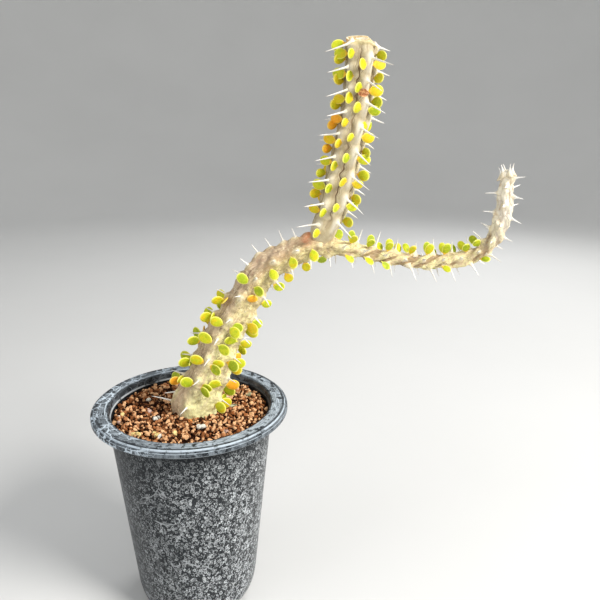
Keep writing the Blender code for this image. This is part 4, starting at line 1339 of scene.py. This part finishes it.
def leaf_blade(length, width_share, thickness, cup, fold):
    """A disc's points and faces in its own terms: x from the stem outwards, y across and z through."""
    turns = np.linspace(0, 2 * math.pi, LEAF_SEGMENTS, endpoint=False)
    middle = (LEAF_BODY_FROM + LEAF_NECK + length) / 2
    half = middle - LEAF_BODY_FROM
    neck = np.clip(-np.cos(turns), 0, 1) ** NECK_SHARPNESS * (LEAF_BODY_FROM + LEAF_ROOT)
    wide = half * width_share
    points, edge = [], []
    for face in (1, -1):
        for ring in LEAF_RINGS:
            x = middle + ring * half * np.cos(turns) - neck * ring**9
            y = ring * wide * np.sin(turns) * (1 + 0.08 * np.cos(turns))
            swell = thickness / 2 * math.sqrt(max(1 - ring**3.4, 0))
            points.append(np.stack([x, y, face * swell + cup * ring**2 + fold * np.abs(y) / wide], axis=-1))
            edge += [ring] * LEAF_SEGMENTS
    points = np.vstack([*points, [[middle, 0, thickness / 2], [middle, 0, -thickness / 2]]])
    sheet = len(LEAF_RINGS) * LEAF_SEGMENTS
    last = sheet - LEAF_SEGMENTS
    rings = ring_faces(len(LEAF_RINGS), LEAF_SEGMENTS)
    faces = flipped(rings) + [tuple(sheet + corner for corner in face) for face in rings]
    for corner in range(LEAF_SEGMENTS):
        after = (corner + 1) % LEAF_SEGMENTS
        faces += [(corner, after, 2 * sheet), (sheet + after, sheet + corner, 2 * sheet + 1)]
        faces.append((last + corner, sheet + last + corner, sheet + last + after, last + after))
    return points, faces, [*edge, 0.0, 0.0]


def ripeness(is_main, share, angle, size, draw):
    """0 for a green leaf, 0.5 for a yellow one and 1 for an orange one; more turn orange on the left side."""
    base = draw.gauss(0.27, 0.14)
    left = max(-math.sin(angle), 0)
    if is_main and 0.12 < share < 0.4 and draw.random() < (0.5 if size < YOUNG_LEAF else 0.12 * left + 0.02):
        base = draw.uniform(0.62, 1.0)
    if not is_main:
        base = draw.gauss(0.36, 0.12)
        if draw.random() < 0.75 * left * math.exp(-(((share - 0.52) / 0.2) ** 2)) + 0.03:
            base = draw.uniform(0.58, 0.95)
    return min(max(base, 0.0), 1.0)


def placed(blade, foot, heading, width_way):
    """A blade's points moved to its foot and turned to its heading."""
    turn = np.array([heading, width_way, heading.cross(width_way).normalized()])
    return blade @ turn + np.array(foot)


def grow_leaves(name, is_main, stem, nodes, kept):
    draw = random.Random(LEAF_SEED + is_main)
    points, faces, paint = [], [], {"edge": [], "ripe": [], "out": [], "mix": []}
    for foot, heading, width_way, size, share, angle in leaves_of(is_main, stem, nodes):
        ripe = ripeness(is_main, share, angle, size, draw)
        cup, fold = draw.uniform(-0.45, 0.45) * MM, draw.uniform(-0.1, 0.25) * MM
        wide, mix = draw.uniform(-0.03, 0.05), draw.random()
        if not kept(foot + heading * (LEAF_NECK + size)):
            continue
        wide += ARCH_LEAF_WIDTH_SHARE if is_main and share > ARCH_FROM else LEAF_WIDTH_SHARE
        blade, blade_faces, edge = leaf_blade(size, wide, LEAF_THICKNESS, cup, fold)
        first = len(points) * len(blade)
        points.append(placed(blade, foot, heading, width_way))
        faces += [tuple(c + first for c in face) for face in blade_faces]
        paint["edge"] += edge
        paint["ripe"] += [ripe] * len(blade)
        paint["mix"] += [mix] * len(blade)
        paint["out"] += list(np.clip(blade[:, 0] / (LEAF_NECK + size), 0, 1))
    return new_piece(name, np.vstack(points), faces, **paint)


def leaf_finish():
    """Fleshy leaf: lime green and finely pebbled, with a paler rim, and yellow to orange where it ripens; the
    pale pebbles are partly painted highlights.
    """
    leaf = Finish("lime_leaf", 0.22)
    ripe, edge, out, mix = (leaf.painted(key) for key in ("ripe", "edge", "out", "mix"))
    pebble = leaf.cloud(1500, 4, 0.65)
    patch = leaf.cloud(330, 3)
    ripe_here = ripe + patch.span(0.3, 0.7, -0.14, 0.16)
    leaf.colour = leaf.blend(ripe_here.span(0.05, 0.32), (0.30, 0.39, 0.010), (0.51, 0.54, 0.015))
    leaf.over((0.64, 0.48, 0.008), ripe_here.span(0.32, 0.55))
    leaf.over((0.84, 0.34, 0.02), ripe_here.span(0.55, 0.9))
    # Pale pebble specks, partly painted highlights on the leaf's tiny bumps.
    leaf.over((0.72, 0.68, 0.06), pebble.span(0.5, 0.68), 0.35)
    leaf.over((0.24, 0.31, 0.01), pebble.span(0.46, 0.34), 0.35)
    rim = leaf.blend(ripe.span(0.2, 0.8), (0.82, 0.80, 0.17), (0.84, 0.60, 0.12))
    leaf.over(rim, edge.span(0.80, 0.93), 0.85)
    leaf.over((0.90, 0.55, 0.05), out.span(0.24, 0.1), mix.span(0.3, 0.8))
    normal = leaf.relief(pebble, 0.10 * MM, 0.4, leaf.relief(patch, 0.3 * MM, 0.35))
    return leaf.finish(pebble.span(0.3, 0.7, 0.46, 0.62), normal)


def lay_withered_leaf():
    """A leaf that has dried up on the branch's front: thin, curled and crumpled."""
    place, tangent, _, _ = upright.frame(WITHERED_AT[0])
    out = upright.outwards(*WITHERED_AT)
    heading = (tangent.cross(out) + out * 0.2 - tangent * 0.15).normalized()
    blade, faces, _ = leaf_blade(WITHERED_LENGTH, 0.72, 0.6 * MM, 0.5 * MM, 0.9 * MM)
    for point in blade:
        spot = Vector(point) * 520
        across = noise.noise(spot + Vector((9, 0, 0))) * 0.5
        point += np.array([noise.noise(spot) * 0.3, across, noise.noise(spot * 1.3) * 0.9]) * MM
    foot = place + out * (upright.radius(WITHERED_AT[0]) + WITHERED_LIFT) - heading * WITHERED_BACK
    width_way = upright_to((tangent + out * 0.5).normalized(), heading)
    return new_piece("withered_leaf", placed(blade, foot, heading, width_way), faces)


def withered_finish():
    """Dead leaf, dry and matt: orange-brown, with darker folds."""
    dry = Finish("withered_leaf")
    fold = dry.cloud(700, 4, 0.6)
    dry.colour = dry.blend(fold.span(0.4, 0.6), (0.46, 0.16, 0.06), (0.90, 0.50, 0.24))
    return dry.finish(0.75, dry.relief(fold, 0.2 * MM, 0.6))


withered_leaf = lay_withered_leaf()
withered_leaf.data.materials.append(withered_finish())
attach(withered_leaf, "root")
leaf_coat = leaf_finish()
main_leaves = grow_leaves("main_stem_leaves", True, main_stem, main_nodes, main_kept)
upright_leaves = grow_leaves("upright_leaves", False, upright, upright_nodes, upright_kept)
for leaves, slot_name in ((main_leaves, "grey_bark"), (upright_leaves, "pale_bark")):
    leaves.data.materials.append(leaf_coat)
    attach(leaves, "root")

# Floor, light and camera
# A plain pale floor under soft daylight: a wide main light at the front right, a light behind, and weaker
# fills from the front and the left.
FLOOR_SIDES = 128
FLOOR_STEPS = 24
FLOOR_FLAT = 1.6
FLOOR_CURVE = 1.2
FLOOR_WALL = 2.2
CAMERA_PLACE = Vector((0.06706, -0.33999, 0.3041))
CAMERA_PITCH = math.radians(16.75)
CAMERA_ROLL = math.radians(0.68)
LIT_SPOT = Vector((0.07, 0, 0.18))
# Each light: its name, place, width, power in watts and colour.
LIGHTS = (
    ("main_light", (0.95, -0.55, 1.0), 0.5, 24.0, (1.0, 0.98, 0.95)),
    ("front_fill", (0.25, -1.5, 0.5), 1.0, 5.0, (1.0, 0.99, 0.97)),
    ("left_fill", (-1.1, -0.7, 0.6), 0.9, 5.0, (0.97, 0.98, 1.0)),
    ("back_light", (0.6, 1.1, 0.9), 0.8, 7.0, (1.0, 1.0, 1.0)),
)
SKY_COLOUR = (0.80, 0.82, 0.84, 1)
SKY_STRENGTH = 0.6


def sweep_floor():
    """A pale floor that curves up into a wall all round, so that no horizon shows from any side."""
    section = [(0.05, 0.0), (0.4, 0.0), (FLOOR_FLAT, 0.0)]
    for turn in np.linspace(0, math.pi / 2, FLOOR_STEPS + 1)[1:]:
        section.append((FLOOR_FLAT + FLOOR_CURVE * math.sin(turn), FLOOR_CURVE * (1 - math.cos(turn))))
    section.append((FLOOR_FLAT + FLOOR_CURVE, FLOOR_WALL))
    faces = ring_faces(len(section), FLOOR_SIDES, lids=(True, False))
    return new_piece("floor", turned(section, FLOOR_SIDES), faces)


floor = sweep_floor()
floor_finish = Finish("pale_floor")
floor_finish.colour = floor_finish.blend(floor_finish.cloud(3, 4), (0.60, 0.60, 0.59), (0.66, 0.66, 0.65))
floor.data.materials.append(floor_finish.finish(0.85))

for name, place, size, power, tint in LIGHTS:
    lamp = bpy.data.lights.new(name, "AREA")
    lamp.shape, lamp.size, lamp.energy, lamp.color = "DISK", size, power, tint
    holder = bpy.data.objects.new(name, lamp)
    holder.location = place
    holder.rotation_euler = (LIT_SPOT - Vector(place)).to_track_quat("-Z", "Y").to_euler()
    bpy.context.scene.collection.objects.link(holder)

bpy.context.scene.view_settings.view_transform = "Standard"
sky = bpy.data.worlds.new("studio")
sky.use_nodes = True
sky.node_tree.nodes["Background"].inputs["Color"].default_value = SKY_COLOUR
sky.node_tree.nodes["Background"].inputs["Strength"].default_value = SKY_STRENGTH
bpy.context.scene.world = sky

lens = bpy.data.cameras.new("photo_camera")
lens.sensor_width = 36
lens.lens = 36
lens.clip_start = 0.01
camera = bpy.data.objects.new("photo_camera", lens)
ahead = Vector((0, math.cos(CAMERA_PITCH), -math.sin(CAMERA_PITCH)))
level = Vector((1, 0, 0))
plumb = level.cross(ahead)
rightward = level * math.cos(CAMERA_ROLL) + plumb * math.sin(CAMERA_ROLL)
upward = plumb * math.cos(CAMERA_ROLL) - level * math.sin(CAMERA_ROLL)
turn = Matrix((rightward, upward, -ahead)).transposed()
camera.matrix_world = Matrix.Translation(CAMERA_PLACE) @ turn.to_4x4()
bpy.context.scene.collection.objects.link(camera)
bpy.context.scene.camera = camera
